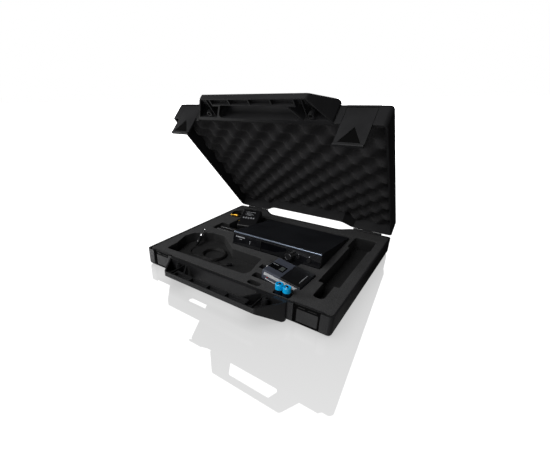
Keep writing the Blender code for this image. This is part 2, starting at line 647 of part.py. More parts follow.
def receiver_controls(at):
    # turned about local Z, then laid so that local Z points out of the front panel
    lay = Matrix.Rotation(math.radians(90), 4, "X")
    profile = [(0, 0.0130), (0.0066, 0.0130), (0.0078, 0.0120), (0.0086, 0.0012), (0.0086, 0.0005),
               (0.0030, 0.0005), (0.0030, -0.0060), (0, -0.0060)]
    knob = turned("receiver_jog_knob", profile, BLACK, 32)
    move(knob, lay).location = KNOB_AT
    attach(smooth_round(knob), at)
    for name, where, radius in (("receiver_escape_button", SMALL_BUTTON_AT, 0.0034),
                                ("receiver_power_button", POWER_BUTTON_AT, 0.0044)):
        profile = [(0, 0.0020), (radius - 0.0006, 0.0020), (radius, 0.0014), (radius, -0.0050),
                   (0, -0.0050)]
        button = turned(name, profile, BLACK, 20)
        move(button, lay).location = where
        attach(smooth_round(button), at)


def receiver_body(at):
    w = RX_W / 2
    y0 = PANEL_T + FIT
    cover = box("receiver_cover", (-w, y0, 0.0), (w, RX_D, RX_H), PAINT)
    hollow = box("hollow", (-w + SHEET, y0 - 0.01, -0.01), (w - SHEET, RX_D + 0.01, RX_H - SHEET),
                 group=CUTTERS)
    inner = w - SHEET - FIT
    tray = box("receiver_chassis", (-inner, y0 + FIT, 0.0), (inner, REAR_Y - FIT, 0.012), STEEL)
    well = box("well", (-inner + SHEET, y0 + FIT + SHEET, SHEET),
               (inner - SHEET, REAR_Y - FIT - SHEET, 0.02), group=CUTTERS)

    def screw_holes():
        return [rod("screw_hole", (-0.12, y, SCREW_Z), (0.12, y, SCREW_Z), 0.0015, sides=12,
                    group=CUTTERS) for y in SCREW_Y]
    cut(cover, hollow, *screw_holes())
    cut(tray, well, *screw_holes())
    rear = box("receiver_rear_panel", (-inner, REAR_Y, 0.0), (inner, REAR_Y + SHEET, RX_H - SHEET - FIT),
               STEEL)
    ports = [rod("port", (x, REAR_Y - 0.01, 0.018), (x, REAR_Y + 0.01, 0.018), 0.0050, sides=20,
                 group=CUTTERS) for x in (-0.080, 0.080)]
    inlet = box("inlet_hole", (-0.0063, REAR_Y - 0.01, 0.0117), (0.0063, REAR_Y + 0.01, 0.0243),
                group=CUTTERS)
    cut(rear, *ports, inlet)
    board = box("receiver_circuit_board", (-0.085, 0.016, 0.0040), (0.085, 0.140, 0.0056), BOARD)
    cans = [box("can", low, high) for low, high in (((-0.070, 0.080, 0.005), (-0.020, 0.125, 0.012)),
                                                    ((0.020, 0.085, 0.005), (0.060, 0.130, 0.011)))]
    weld(board, *cans)
    for piece in (cover, tray, rear, board):
        attach(piece, at)
    for x, word in ((-0.080, "a"), (0.080, "b")):
        profile = [(0.0022, 0.0130), (0.0047, 0.0130), (0.0047, -0.0030), (0, -0.0030), (0, 0.0040),
                   (0.0022, 0.0040), (0.0022, 0.0130)]
        socket = turned(f"receiver_antenna_socket_{word}", profile, STEEL, 16)
        move(socket, Matrix.Rotation(math.radians(-90), 4, "X")).location = (x, REAR_Y, 0.018)
        attach(smooth_round(socket), at)
    jack = box("receiver_power_inlet", (-0.0060, REAR_Y - 0.006, 0.0120),
               (0.0060, REAR_Y + 0.004, 0.0240), BLACK)
    cut(jack, rod("hole", (0, REAR_Y - 0.003, 0.018), (0, REAR_Y + 0.01, 0.018), 0.0032, sides=16,
                  group=CUTTERS))
    attach(jack, at)


def receiver_screws(at):
    w = RX_W / 2
    number = 0
    for side in (-1, 1):
        for y in SCREW_Y:
            number += 1
            profile = [(0, 0.0008), (0.0016, 0.0008), (0.0026, 0.0003), (0.0026, 0.0001), (0.0011, 0.0001),
                       (0.0011, -0.0034), (0, -0.0034)]
            screw = turned(f"receiver_screw_{number}", profile, STEEL, 12)
            move(screw, Matrix.Rotation(math.radians(90 * side), 4, "Y"))
            screw.location = (side * (w + 0.0001), y, SCREW_Z)
            attach(screw, at)


def build_receiver():
    at = anchor("receiver_axis", (RX_X, RX_Y, RX_Z), Matrix.Rotation(math.radians(-RX_TILT), 4, "X"))
    receiver_front(at)
    receiver_controls(at)
    receiver_body(at)
    receiver_screws(at)


# ---------------------------------------------------------------- antennas
def build_antennas():
    """Two rod antennas lying in their pocket, bayonet collars to the right."""
    for word, y in (("a", 0.0050), ("b", 0.0200)):
        z = ANTENNA_FLOOR + 0.0062
        profile = [(0, 0.0720), (0.0030, 0.0715), (0.0038, 0.0690), (0.0046, 0.0160), (0.0058, 0.0140),
                   (0.0058, 0.0010), (0.0052, 0.0), (0, 0.0)]
        antenna = turned(f"rod_antenna_{word}", profile, BLACK, 20)
        move(antenna, Matrix.Rotation(math.radians(-90), 4, "Y"))
        antenna.location = (-0.088, y, z)
        smooth_round(antenna)


# ---------------------------------------------------------------- mains adapter and its lead
def build_adapter():
    at = anchor("adapter_axis", AD_AT, AD_TURN)
    w, l, t = AD_W / 2, AD_L / 2, AD_T / 2
    for name, sign in (("adapter_lower_shell", -1), ("adapter_upper_shell", 1)):
        shell = box(name, (-w, -l, -t), (w, l, t), BLACK, 0.0035, 3)
        keep = sorted((sign * FIT / 2, sign * 0.05))
        half = box("half", (-0.06, -0.06, keep[0]), (0.06, 0.06, keep[1]), group=CUTTERS)
        combine(shell, [half], "INTERSECT")
        hollow = box("hollow", (-w + 0.002, -l + 0.002, -t + 0.002), (w - 0.002, l - 0.002, t - 0.002),
                     group=CUTTERS)
        cut(shell, hollow)
        if sign < 0:
            foot = box("plug_base", (-0.014, 0.008, -t - 0.0035), (0.014, 0.026, -t + 0.001))
            weld(shell, foot)
            cut(shell, *[rod("pin_hole", (x, 0.018, -t - 0.01), (x, 0.018, -t + 0.01), 0.0023, sides=12,
                             group=CUTTERS) for x in (-0.0095, 0.0095)])
        attach(shell, at)
    for x, word in ((-0.0095, "left"), (0.0095, "right")):
        pin = rod(f"adapter_mains_pin_{word}", (x, 0.018, -t - 0.0185), (x, 0.018, -t + 0.006), 0.0020,
                  BRASS, 12)
        attach(pin, at)


def place_along(obj, start, end):
    """Puts a piece turned about Z with its origin at start and its top towards end."""
    start, end = Vector(start), Vector(end)
    turn = Vector((0, 0, 1)).rotation_difference(end - start).to_matrix().to_4x4()
    obj.matrix_world = Matrix.Translation(start) @ turn
    return smooth_round(obj)


def build_dc_lead():
    relief = turned("adapter_strain_relief", [(0, 0.0070), (0.0022, 0.0070), (0.0030, 0.0), (0, 0.0)],
                    RUBBER, 14)
    outlet = AD_AT + AD_TURN @ Vector((-0.012, AD_L / 2 + FIT, 0.0))
    place_along(relief, outlet, outlet + AD_TURN.to_3x3() @ Vector((0, 1, 0)))
    tube("dc_lead_start", DC_ROUTE_A, DC_CORD_R, RUBBER, 0.007)
    ring("dc_lead_coil", DC_COIL_AT, DC_COIL_R, DC_COIL_BAND, DC_COIL_H, RUBBER)
    tube("dc_lead_end", DC_ROUTE_B, DC_CORD_R, RUBBER, 0.007)
    grip = turned("dc_plug_grip", [(0, 0.0125), (0.0044, 0.0125), (0.0046, 0.0060), (0.0030, 0.0), (0, 0.0)],
                  BRASS, 16)
    start, end = Vector(DC_ROUTE_B[-1]), Vector((-0.1735, 0.0850, 0.0425))
    way = (end - start).normalized()
    place_along(grip, start + way * 0.0004, end)
    tip = turned("dc_plug_tip", [(0.0015, 0.0095), (0.0027, 0.0095), (0.0029, 0.0003), (0, 0.0003),
                                 (0, 0.0020), (0.0015, 0.0020), (0.0015, 0.0095)], BRASS, 16)
    place_along(tip, start + way * 0.0130, end)


# ---------------------------------------------------------------- body-pack
def build_pack():
    turn = Matrix.Rotation(math.radians(PACK_YAW), 4, "Z") @ Matrix.Rotation(math.radians(PACK_TILT), 4, "Y")
    at = anchor("pack_axis", PACK_AT, turn)
    l, w, t = PACK_L / 2, PACK_W / 2, PACK_T / 2
    split = -0.001                      # the cover hides everything to the right of this line
    shell = box("pack_housing", (-l, -w, -t), (l, w, t), GREY, 0.0030, 2)
    bay = box("bay", (split, -w - 0.01, t - 0.0030), (l + 0.01, w + 0.01, t + 0.01), group=CUTTERS)
    cells = box("cell_bay", (split + 0.004, -w + 0.006, -t + 0.0020), (l - 0.004, w - 0.006, t + 0.01),
                group=CUTTERS)
    window = box("window_seat", (-0.0370, -0.0125, t - 0.0012), (-0.0060, 0.0075, t + 0.01),
                 group=CUTTERS)
    strip = box("strip_seat", (-l + 0.005, -w - 0.01, t - 0.0102), (l - 0.005, -w + 0.0012, t - 0.0038),
                group=CUTTERS)
    holes = [rod("hole", (-l - 0.01, y, z), (-l + 0.006, y, z), r, sides=16, group=CUTTERS)
             for y, z, r in ((0.016, 0.002, 0.0038), (-0.0035, 0.002, 0.0051), (-0.020, 0.0, 0.0026))]
    lamp_x, lamp_z = LAMP_AT
    led = rod("led_hole", (lamp_x, -w - 0.01, lamp_z), (lamp_x, -w + 0.003, lamp_z), 0.0014, sides=10,
              group=CUTTERS)
    cut(shell, bay, cells, window, strip, *holes, led)
    cover = box("pack_battery_cover", (split + FIT, -w, t - 0.0026), (l, w, t), BLACK, 0.0009, 2)
    lens = box("pack_display_window", (-0.0367, -0.0122, t - 0.0009), (-0.0063, 0.0072, t + 0.0003), GLASS)
    rail = box("pack_side_strip", (-l + 0.0053, -w - 0.0004, t - 0.0099),
               (l - 0.0053, -w + 0.0009, t - 0.0041), SILVER)
    ribs = [box("groove", (x, -w - 0.01, t - 0.0120), (x + 0.0011, -w + 0.0001, t - 0.0020), group=CUTTERS)
            for x in [-0.0315 + 0.0028 * i for i in range(23)]]
    cut(rail, *ribs)
    lamp = rod("pack_red_lamp", (lamp_x, -w - 0.0003, lamp_z), (lamp_x, -w + 0.0026, lamp_z), 0.0011,
               RED, 10)
    clip = tube("pack_belt_clip", CLIP_ROUTE, CLIP_R, STEEL, 0.004)
    for piece in (shell, cover, lens, rail, lamp, clip):
        attach(piece, at)
    lay = Matrix.Rotation(math.radians(-90), 4, "Y")
    for name, profile, y, z, look in (
            ("pack_lead_socket", [(0.0021, 0.0040), (0.0046, 0.0040), (0.0048, -0.0050), (0, -0.0050),
                                  (0, -0.0035), (0.0021, -0.0035), (0.0021, 0.0040)], -0.0035, 0.002, STEEL),
            ("pack_antenna", [(0, 0.0120), (0.0022, 0.0116), (0.0026, 0.0040), (0.0035, 0.0020),
                              (0.0035, -0.0050), (0, -0.0050)], 0.016, 0.002, RUBBER),
            ("pack_mute_switch", [(0, 0.0016), (0.0018, 0.0016), (0.0023, 0.0010), (0.0023, -0.0045),
                                  (0, -0.0045)], -0.020, 0.0, BLACK)):
        piece = turned(name, profile, look, 16)
        move(piece, lay).location = (-l, y, z)
        attach(smooth_round(piece), at)


# ---------------------------------------------------------------- cells
def build_cells():
    for (x, y), word in zip(CELLS, ("a", "b")):
        profile = [(0, CELL_L - 0.0010), (0.0048, CELL_L - 0.0010), (0.0050, CELL_L), (0.0064, CELL_L),
                   (CELL_R, CELL_L - 0.0008), (CELL_R, 0.0006), (0.0064, 0.0), (0, 0.0)]
        cell = turned(f"cell_{word}", profile, BLUE, 28)
        cell.location = (x, y, WALL + FIT)
        cap = turned(f"cell_{word}_contact", [(0, 0.0013), (0.0022, 0.0013), (0.0027, 0.0009), (0.0027, 0.0),
                                              (0, 0.0)], STEEL, 16)
        cap.location = (x, y, WALL + FIT + CELL_L - 0.0008)
        smooth_round(cell)
        smooth_round(cap)


# ---------------------------------------------------------------- clip-on microphone and lead
def build_microphone():
    foot, rest = Vector((-0.1560, -0.0802, 0.0192)), Vector((-0.1590, -0.0440, 0.0445))
    way = (rest - foot).normalized()
    barrel = turned("mic_plug_barrel", [(0, 0.0250), (0.0046, 0.0250), (0.0048, 0.0120), (0.0040, 0.0085),
                                        (0.0020, 0.0), (0, 0.0)], BLACK, 20)
    place_along(barrel, foot, rest)
    collar = turned("mic_plug_collar", [(0, 0.0085), (0.0034, 0.0085), (0.0036, 0.0070), (0.0050, 0.0062),
                                        (0.0052, 0.0006), (0.0046, 0.0), (0, 0.0)], STEEL, 24)
    place_along(collar, foot + way * 0.0253, rest)
    tip = turned("mic_plug_pin", [(0, 0.0140), (0.0010, 0.0134), (0.0017, 0.0115), (0.0012, 0.0102),
                                  (0.0017, 0.0092), (0.0017, 0.0), (0, 0.0)], STEEL, 16)
    place_along(tip, foot + way * 0.0341, rest)
    tube("mic_lead_start", MIC_ROUTE, MIC_CORD_R, RUBBER, 0.0045)
    ring("mic_lead_coil", COIL_AT, COIL_R, COIL_BAND, COIL_H, RUBBER)
    tube("mic_lead_end", TAIL_ROUTE, MIC_CORD_R, RUBBER, 0.0045)
    end = Vector(TAIL_ROUTE[-1])
    capsule = turned("mic_capsule", [(0, 0.0120), (0.0024, 0.0120), (0.0029, 0.0110), (0.0029, 0.0015),
                                     (0.0012, 0.0), (0, 0.0)], BLACK, 16)
    along = end + Vector((0.010, 0.008, 0.0004))
    place_along(capsule, end + (along - end).normalized() * 0.0004, along)


def main():
    axis = anchor("lid_axis", AXIS, Matrix.Rotation(math.radians(-OPEN_DEG), 4, "X"))
    smooth_round(build_base())
    build_lid(axis)
    build_latch("latch_left", -1, axis)
    build_latch("latch_right", 1, axis)
    build_pins(axis)
    build_foams(axis)
    build_receiver()
    build_antennas()
    build_adapter()
    build_dc_lead()
    build_pack()
    build_cells()
    build_microphone()


main()
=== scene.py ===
"""Looks for the wireless microphone set in its carrying case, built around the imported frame.

Metres, +Z up, in the frame's own axes.  The handle points to -Y and the lid hinges at +Y.
"""
import json
import math

import bmesh
import bpy
from mathutils import Matrix, Vector, noise

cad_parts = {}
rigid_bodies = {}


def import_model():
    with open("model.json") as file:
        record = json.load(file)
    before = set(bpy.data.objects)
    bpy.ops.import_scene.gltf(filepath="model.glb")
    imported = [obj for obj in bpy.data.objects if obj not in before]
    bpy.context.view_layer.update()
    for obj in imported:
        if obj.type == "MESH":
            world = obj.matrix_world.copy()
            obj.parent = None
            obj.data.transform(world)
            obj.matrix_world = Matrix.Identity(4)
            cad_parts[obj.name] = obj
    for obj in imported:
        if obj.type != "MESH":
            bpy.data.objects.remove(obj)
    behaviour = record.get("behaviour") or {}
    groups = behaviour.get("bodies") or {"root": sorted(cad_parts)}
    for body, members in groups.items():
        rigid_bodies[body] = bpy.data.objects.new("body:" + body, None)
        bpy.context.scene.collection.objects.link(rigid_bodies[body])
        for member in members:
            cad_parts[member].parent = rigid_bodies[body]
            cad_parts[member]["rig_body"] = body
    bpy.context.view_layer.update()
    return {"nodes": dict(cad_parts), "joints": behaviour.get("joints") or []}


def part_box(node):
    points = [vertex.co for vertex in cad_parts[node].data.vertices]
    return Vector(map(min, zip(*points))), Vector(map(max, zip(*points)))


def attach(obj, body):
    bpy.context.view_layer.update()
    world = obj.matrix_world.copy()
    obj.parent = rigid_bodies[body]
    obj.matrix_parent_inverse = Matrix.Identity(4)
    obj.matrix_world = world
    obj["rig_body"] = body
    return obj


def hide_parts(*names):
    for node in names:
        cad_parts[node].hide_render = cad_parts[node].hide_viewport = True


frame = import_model()
NODES = frame["nodes"]

# ---------------------------------------------------------------- places, repeated from the CAD
LID_HINGE = next(j for j in frame["joints"] if j["name"] == "lid_hinge")
AXIS = Vector(LID_HINGE["pos_m"])
OPEN = math.radians(-LID_HINGE["range_deg"][0])
LID = Matrix.Translation(AXIS) @ Matrix.Rotation(-OPEN, 4, "X") @ Matrix.Translation(-AXIS)


def turned_frame(at, *turns):
    made = Matrix.Translation(at)
    for degrees, axis in turns:
        made = made @ Matrix.Rotation(math.radians(degrees), 4, axis)
    return made


RX_W = 0.202                        # the receiver's width
RECEIVER = turned_frame((0.030, -0.0516, 0.0297), (-8.5, "X"))
KNOB_AT = (0.040, 0.0, 0.0175)
PACK_T = 0.022                      # the pack's thickness
PACK = turned_frame((0.094, -0.1065, 0.0345), (-3.0, "Z"), (8.0, "Y"))
AD_T = 0.034                        # the adapter's thickness
ADAPTER = turned_frame((-0.111, 0.080, 0.0356), (14.0, "Z"), (24.0, "X"))

MIC_CORD_R = 0.0010
COIL_AT, COIL_R = Vector((-0.094, -0.090, 0.0146)), 0.0255
MIC_ROUTE = [(-0.1560, -0.0812, 0.0186), (-0.1562, -0.0850, 0.0164), (-0.1562, -0.0910, 0.0153),
             (-0.1535, -0.1000, 0.0153), (-0.1465, -0.1085, 0.0153), (-0.1365, -0.1130, 0.0153),
             (-0.1265, -0.1130, 0.0153), (-0.1195, -0.1098, 0.0153)]
TAIL_ROUTE = [(-0.0690, -0.1085, 0.0153), (-0.0640, -0.1130, 0.0153), (-0.0570, -0.1160, 0.0153),
              (-0.0490, -0.1155, 0.0160), (-0.0430, -0.1125, 0.0176)]
MIC_FOOT, MIC_REST = Vector((-0.1560, -0.0802, 0.0192)), Vector((-0.1590, -0.0440, 0.0445))

DC_CORD_R = 0.00175
DC_COIL_AT = Vector((-0.168, 0.122, 0.0205))
DC_ROUTE_A = [(-0.1311, 0.1112, 0.0512), (-0.1325, 0.1155, 0.0528), (-0.1355, 0.1200, 0.0535),
              (-0.1400, 0.1245, 0.0520), (-0.1430, 0.1300, 0.0480), (-0.1460, 0.1360, 0.0430),
              (-0.1520, 0.1395, 0.0385), (-0.1600, 0.1400, 0.0363)]
DC_ROUTE_B = [(-0.1640, 0.1042, 0.0363), (-0.1580, 0.1035, 0.0374), (-0.1530, 0.1020, 0.0390),
              (-0.1492, 0.0990, 0.0402), (-0.1480, 0.0950, 0.0412), (-0.1500, 0.0915, 0.0420),
              (-0.1540, 0.0900, 0.0425)]
DC_PLUG_END = Vector((-0.1735, 0.0850, 0.0425))

BASE_FRONT, LATCH_X = -0.181, 0.164
CRATE_X, CRATE_Y = 0.2026, (-0.1737, 0.1774)         # the lid foam's outline, with the lid shut
CRATE_STEP, CRATE_STEP_X = 0.020, (0.0962, 0.1202)   # its rear edge steps in between the hinges
CRATE_BACK, CRATE_CREST = 0.0730, 0.0550
FOAM_TOP = 0.0372
EGG_X, EGG_Y = 0.0485, 0.0250       # egg crate: pitch along a row, and from row to row
EGG_SHIFT = (0.0, -0.1100)          # one of its crests
EGG_BASE = 0.0030                   # foam left under its hollows
CRATE_COLUMNS, CRATE_ROWS = 190, 168

LENS, SENSOR = 20.62, 36.0          # millimetres
SHIFT_X, SHIFT_Y = 0.0870, 0.0426
CAMERA_AT = (0.3079, -0.5656, 0.3330)
CAMERA_YAW, CAMERA_DOWN, CAMERA_ROLL = 37.52, 25.86, -0.82      # degrees

MIRRORED_WHITE = 2.5                # how bright the floor's mirror image of the surroundings is
MIRRORED_DEPTH = 2.5                # rays older than this don't see it
FLOOR_REACH, FLOOR_DROP = 30.0, 0.0006


# ---------------------------------------------------------------- camera, lights and floor
def add_camera():
    data = bpy.data.cameras.new("camera")
    data.sensor_width = SENSOR
    data.lens = LENS
    data.shift_x = SHIFT_X
    data.shift_y = SHIFT_Y
    obj = bpy.data.objects.new("camera", data)
    bpy.context.scene.collection.objects.link(obj)
    yaw, down, roll = (math.radians(a) for a in (CAMERA_YAW, CAMERA_DOWN, CAMERA_ROLL))
    obj.matrix_world = (Matrix.Translation(CAMERA_AT) @ Matrix.Rotation(yaw, 4, "Z")
                        @ Matrix.Rotation(math.pi / 2 - down, 4, "X") @ Matrix.Rotation(roll, 4, "Z"))
    bpy.context.scene.camera = obj


def area_light(name, at, aim, size, power):
    data = bpy.data.lights.new(name, "AREA")
    data.size = size
    data.energy = power
    obj = bpy.data.objects.new(name, data)
    bpy.context.scene.collection.objects.link(obj)
    obj.location = at
    obj.rotation_euler = (Vector(aim) - Vector(at)).to_track_quat("-Z", "Y").to_euler()


def add_world():
    """A dim studio, white only behind what the camera sees and in the floor's mirror image."""
    world = bpy.data.worlds.new("studio")
    bpy.context.scene.world = world
    world.use_nodes = True
    path = node(world, "ShaderNodeLightPath")
    first = node(world, "ShaderNodeMath", {0: path.outputs["Ray Depth"], 1: MIRRORED_DEPTH},
                 operation="LESS_THAN").outputs[0]
    seen = node(world, "ShaderNodeMath", {0: path.outputs["Is Singular Ray"], 1: first},
                operation="MULTIPLY").outputs[0]
    seen = node(world, "ShaderNodeMath", {0: seen, 1: MIRRORED_WHITE}, operation="MULTIPLY").outputs[0]
    seen = node(world, "ShaderNodeMath", {0: seen, 1: path.outputs["Is Camera Ray"]},
                operation="MAXIMUM").outputs[0]
    way = node(world, "ShaderNodeTexCoord").outputs["Generated"]
    left = node(world, "ShaderNodeVectorMath", {0: way, 1: (-0.75, -0.60, 0.28)},
                operation="DOT_PRODUCT").outputs["Value"]
    dim = spread(world, left, 0.01, 0.09, -0.2, 0.9)
    strength = node(world, "ShaderNodeMath", {0: seen, 1: dim}, operation="MAXIMUM").outputs[0]
    back = world.node_tree.nodes["Background"]
    back.inputs["Color"].default_value = (1.0, 1.0, 1.0, 1.0)
    world.node_tree.links.new(strength, back.inputs["Strength"])


def floor_white():
    """Glossy white: it looks white and mirrors sharply, with painted shade close to the object and a painted
    contact shadow, and lights the object from the front left only.
    """
    mat, shader = look("floor_white", (0.08, 0.08, 0.08), 0.0)
    shader.inputs["IOR"].default_value = 2.1
    shader.inputs["Emission Color"].default_value = (1.0, 1.0, 1.0, 1.0)
    where = node(mat, "ShaderNodeTexCoord").outputs["Object"]
    away = node(mat, "ShaderNodeVectorMath", {0: where}, operation="LENGTH").outputs["Value"]
    # Painted shade: the white is painted dimmer within 0.6 m of the object's middle, and ambient occlusion
    # paints a contact shadow next to it.
    white = spread(mat, away, 0.66, 0.80, 0.25, 0.60)
    contact_shadow = node(mat, "ShaderNodeAmbientOcclusion", {"Distance": 0.03}).outputs["AO"]
    white = node(mat, "ShaderNodeMath", {0: white, 1: spread(mat, contact_shadow, 0.80, 1.0, 0.3, 1.0)},
                 operation="MULTIPLY").outputs[0]
    left = node(mat, "ShaderNodeVectorMath", {0: where, 1: (-0.8, -0.6, 0.0)},
                operation="DOT_PRODUCT").outputs["Value"]
    bounce = spread(mat, left, 0.0, 0.50, -0.2, 0.5)
    path = node(mat, "ShaderNodeLightPath").outputs["Is Camera Ray"]
    strength = node(mat, "ShaderNodeMix", {0: path, 2: bounce, 3: white}).outputs[0]
    feed(mat, strength, shader, "Emission Strength")
    return mat


def add_floor():
    mesh = bpy.data.meshes.new("floor")
    bm = bmesh.new()
    bmesh.ops.create_grid(bm, x_segments=1, y_segments=1, size=FLOOR_REACH)
    bm.to_mesh(mesh)
    bm.free()
    floor = bpy.data.objects.new("floor", mesh)
    bpy.context.scene.collection.objects.link(floor)
    floor.location.z = -FLOOR_DROP
    mesh.materials.append(floor_white())


def add_studio():
    bpy.context.scene.view_settings.view_transform = "Standard"
    add_world()
    add_floor()
    area_light("key", (-0.18, -1.15, 1.15), (0.0, -0.1, 0.0), 0.8, 12.5)
    area_light("side", (-1.35, -0.95, 0.50), (0.0, 0.0, 0.14), 0.5, 10)
    area_light("front", (0.75, -1.45, 0.40), (0.0, -0.1, 0.05), 0.4, 2.6)


# ---------------------------------------------------------------- materials
def look(name, colour, roughness, metallic=0.0):
    mat = bpy.data.materials.new(name)
    mat.use_nodes = True
    shader = mat.node_tree.nodes["Principled BSDF"]
    shader.inputs["Base Color"].default_value = (*colour, 1.0)
    shader.inputs["Roughness"].default_value = roughness
    shader.inputs["Metallic"].default_value = metallic
    return mat, shader


def node(mat, kind, inputs=None, **settings):
    """Adds a shader node; an input's value is a number, a vector or another node's output."""
    made = mat.node_tree.nodes.new(kind)
    for key, value in settings.items():
        setattr(made, key, value)
    for key, value in (inputs or {}).items():
        if isinstance(value, bpy.types.NodeSocket):
            mat.node_tree.links.new(value, made.inputs[key])
        else:
            made.inputs[key].default_value = value
    return made


def speckle(mat, scale, detail=2.0, stretch=None):
    """Noise in the object's own metres; scale is its cells a metre, and stretch squeezes it by axis."""
    where = node(mat, "ShaderNodeTexCoord").outputs["Object"]
    if stretch:
        where = node(mat, "ShaderNodeMapping", {"Vector": where, "Scale": stretch}).outputs["Vector"]
    return node(mat, "ShaderNodeTexNoise", {"Vector": where, "Scale": scale, "Detail": detail}).outputs[0]


def pores(mat, scale):
    where = node(mat, "ShaderNodeTexCoord").outputs["Object"]
    return node(mat, "ShaderNodeTexVoronoi", {"Vector": where, "Scale": scale}).outputs["Distance"]


def ramp(mat, source, stops):
    """Colours by value: stops is a list of (position, colour)."""
    made = node(mat, "ShaderNodeValToRGB", {"Fac": source})
    elements = made.color_ramp.elements
    while len(elements) < len(stops):
        elements.new(0.5)
    for element, (position, colour) in zip(elements, stops):
        element.position = position
        element.color = (*colour, 1.0)
    return made.outputs["Color"]


def spread(mat, source, low, high, start=0.3, stop=0.7):
    return node(mat, "ShaderNodeMapRange", {"Value": source, "From Min": start, "From Max": stop,
                                            "To Min": low, "To Max": high}).outputs["Result"]


def bump(mat, shader, height, distance, strength):
    made = node(mat, "ShaderNodeBump", {"Height": height, "Distance": distance, "Strength": strength})
    mat.node_tree.links.new(made.outputs["Normal"], shader.inputs["Normal"])


def feed(mat, source, shader, socket):
    mat.node_tree.links.new(source, shader.inputs[socket])


def scaled(colour, factor):
    return tuple(min(1.0, c * factor) for c in colour)


def plastic(name, colour, roughness, grain=2600, depth=0.00005, shine=0.35):
    """Moulded plastic: fine spark-eroded grain, and faint broad smudges in its gloss and colour."""
    mat, shader = look(name, colour, roughness)
    shader.inputs["Specular IOR Level"].default_value = shine
    fine = speckle(mat, grain)
    broad = speckle(mat, 16, 4)
    feed(mat, spread(mat, broad, roughness - 0.05, roughness + 0.07), shader, "Roughness")
    feed(mat, ramp(mat, broad, [(0.30, scaled(colour, 0.85)), (0.70, scaled(colour, 1.18))]), shader,
         "Base Color")
    bump(mat, shader, fine, depth, 0.8)
    return mat


def foam(name, colour, scale=780, shade_below=None):
    """Open-cell foam: dark pores, lighter struts and slow changes of tone, and painted shade that darkens it
    below a given height, in its pockets.
    """
    mat, shader = look(name, colour, 0.96)
    cells = pores(mat, scale)
    fine = speckle(mat, scale * 1.7, 3)
    tone = speckle(mat, 26, 5)
    mixed = node(mat, "ShaderNodeMath", {0: cells, 1: fine}, operation="MULTIPLY").outputs[0]
    grainy = ramp(mat, mixed, [(0.02, scaled(colour, 0.62)), (0.34, scaled(colour, 1.35))])
    if shade_below:
        # Painted shade: below the top face, in the pockets, the colour drops to a fifth to two-fifths of the
        # foam's own.
        where = node(mat, "ShaderNodeTexCoord").outputs["Object"]
        height = node(mat, "ShaderNodeSeparateXYZ", {0: where}).outputs["Z"]
        grainy = node(mat, "ShaderNodeMix", {0: spread(mat, height, 0.0, 1.0, shade_below - 0.0020, shade_below - 0.0006),
                                             6: ramp(mat, mixed, [(0.02, scaled(colour, 0.20)),
                                                                  (0.34, scaled(colour, 0.38))]),
                                             7: grainy}, data_type="RGBA").outputs[2]
    slow = ramp(mat, tone, [(0.30, (0.86, 0.86, 0.86)), (0.72, (1.0, 1.0, 1.0))])
    both = node(mat, "ShaderNodeMix", {0: 1.0, 6: grainy, 7: slow}, data_type="RGBA",
                blend_type="MULTIPLY")
    feed(mat, both.outputs[2], shader, "Base Color")
    shader.inputs["Specular IOR Level"].default_value = 0.25
    shader.inputs["Sheen Weight"].default_value = 0.03
    shader.inputs["Sheen Roughness"].default_value = 0.6
    bump(mat, shader, mixed, 0.0007, 0.7)
    return mat


def metal(name, colour, roughness, stretch=(14, 900, 900)):
    """Brushed metal, with its brushing lines along the axis that stretch squeezes least."""
    mat, shader = look(name, colour, roughness, 1.0)
    lines = speckle(mat, 1.0, 4, stretch)
    feed(mat, spread(mat, lines, roughness - 0.07, roughness + 0.12), shader, "Roughness")
    feed(mat, ramp(mat, lines, [(0.25, scaled(colour, 0.80)), (0.75, scaled(colour, 1.15))]), shader,
         "Base Color")
    bump(mat, shader, lines, 0.00002, 0.6)
    return mat


def glossy(name, colour, roughness):
    """Gloss panel: clear coat over colour, with faint dust and finger marks."""
    mat, shader = look(name, colour, roughness)
    marks = speckle(mat, 70, 5)
    feed(mat, spread(mat, marks, roughness * 0.7, roughness * 1.6), shader, "Roughness")
    feed(mat, ramp(mat, marks, [(0.3, scaled(colour, 0.8)), (0.7, scaled(colour, 1.25))]), shader,
         "Base Color")
    shader.inputs["Coat Weight"].default_value = 1.0
    shader.inputs["Coat Roughness"].default_value = 0.05
    return mat


def cell_wrap():
    """Cell sleeve: bright blue at the top, and painted shade below, near black, standing in for the pocket's
    shadow.
    """
    mat, shader = look("cell_wrap", (0.0, 0.50, 1.0), 0.30)
    where = node(mat, "ShaderNodeTexCoord").outputs["Object"]
    height = node(mat, "ShaderNodeSeparateXYZ", {0: where}).outputs["Z"]
    low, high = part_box("cell_a")
    share = node(mat, "ShaderNodeMapRange", {"Value": height, "From Min": low.z,
                                             "From Max": high.z}).outputs["Result"]
    # Painted shade: below 80 % of its height the sleeve is painted near black, for the shadow in the cells'
    # pocket.
    blue, dark = (0.0, 0.50, 1.0), (0.004, 0.010, 0.018)
    bands = ramp(mat, share, [(0.0, dark), (0.80, dark), (0.815, blue), (1.0, blue)])
    wear = ramp(mat, speckle(mat, 160, 4), [(0.3, (0.86, 0.86, 0.86)), (0.7, (1.0, 1.0, 1.0))])
    both = node(mat, "ShaderNodeMix", {0: 1.0, 6: bands, 7: wear}, data_type="RGBA",
                blend_type="MULTIPLY")
    feed(mat, both.outputs[2], shader, "Base Color")
    shader.inputs["Coat Weight"].default_value = 0.5
    bump(mat, shader, speckle(mat, 420), 0.00004, 0.5)
    return mat


def lamp_red():
    mat, shader = look("lamp_red", (0.32, 0.01, 0.01), 0.18)
    tone = ramp(mat, speckle(mat, 900), [(0.3, (0.20, 0.004, 0.004)), (0.7, (0.42, 0.02, 0.02))])
    feed(mat, tone, shader, "Base Color")
    shader.inputs["Emission Color"].default_value = (0.9, 0.03, 0.03, 1.0)
    shader.inputs["Emission Strength"].default_value = 0.10
    return mat


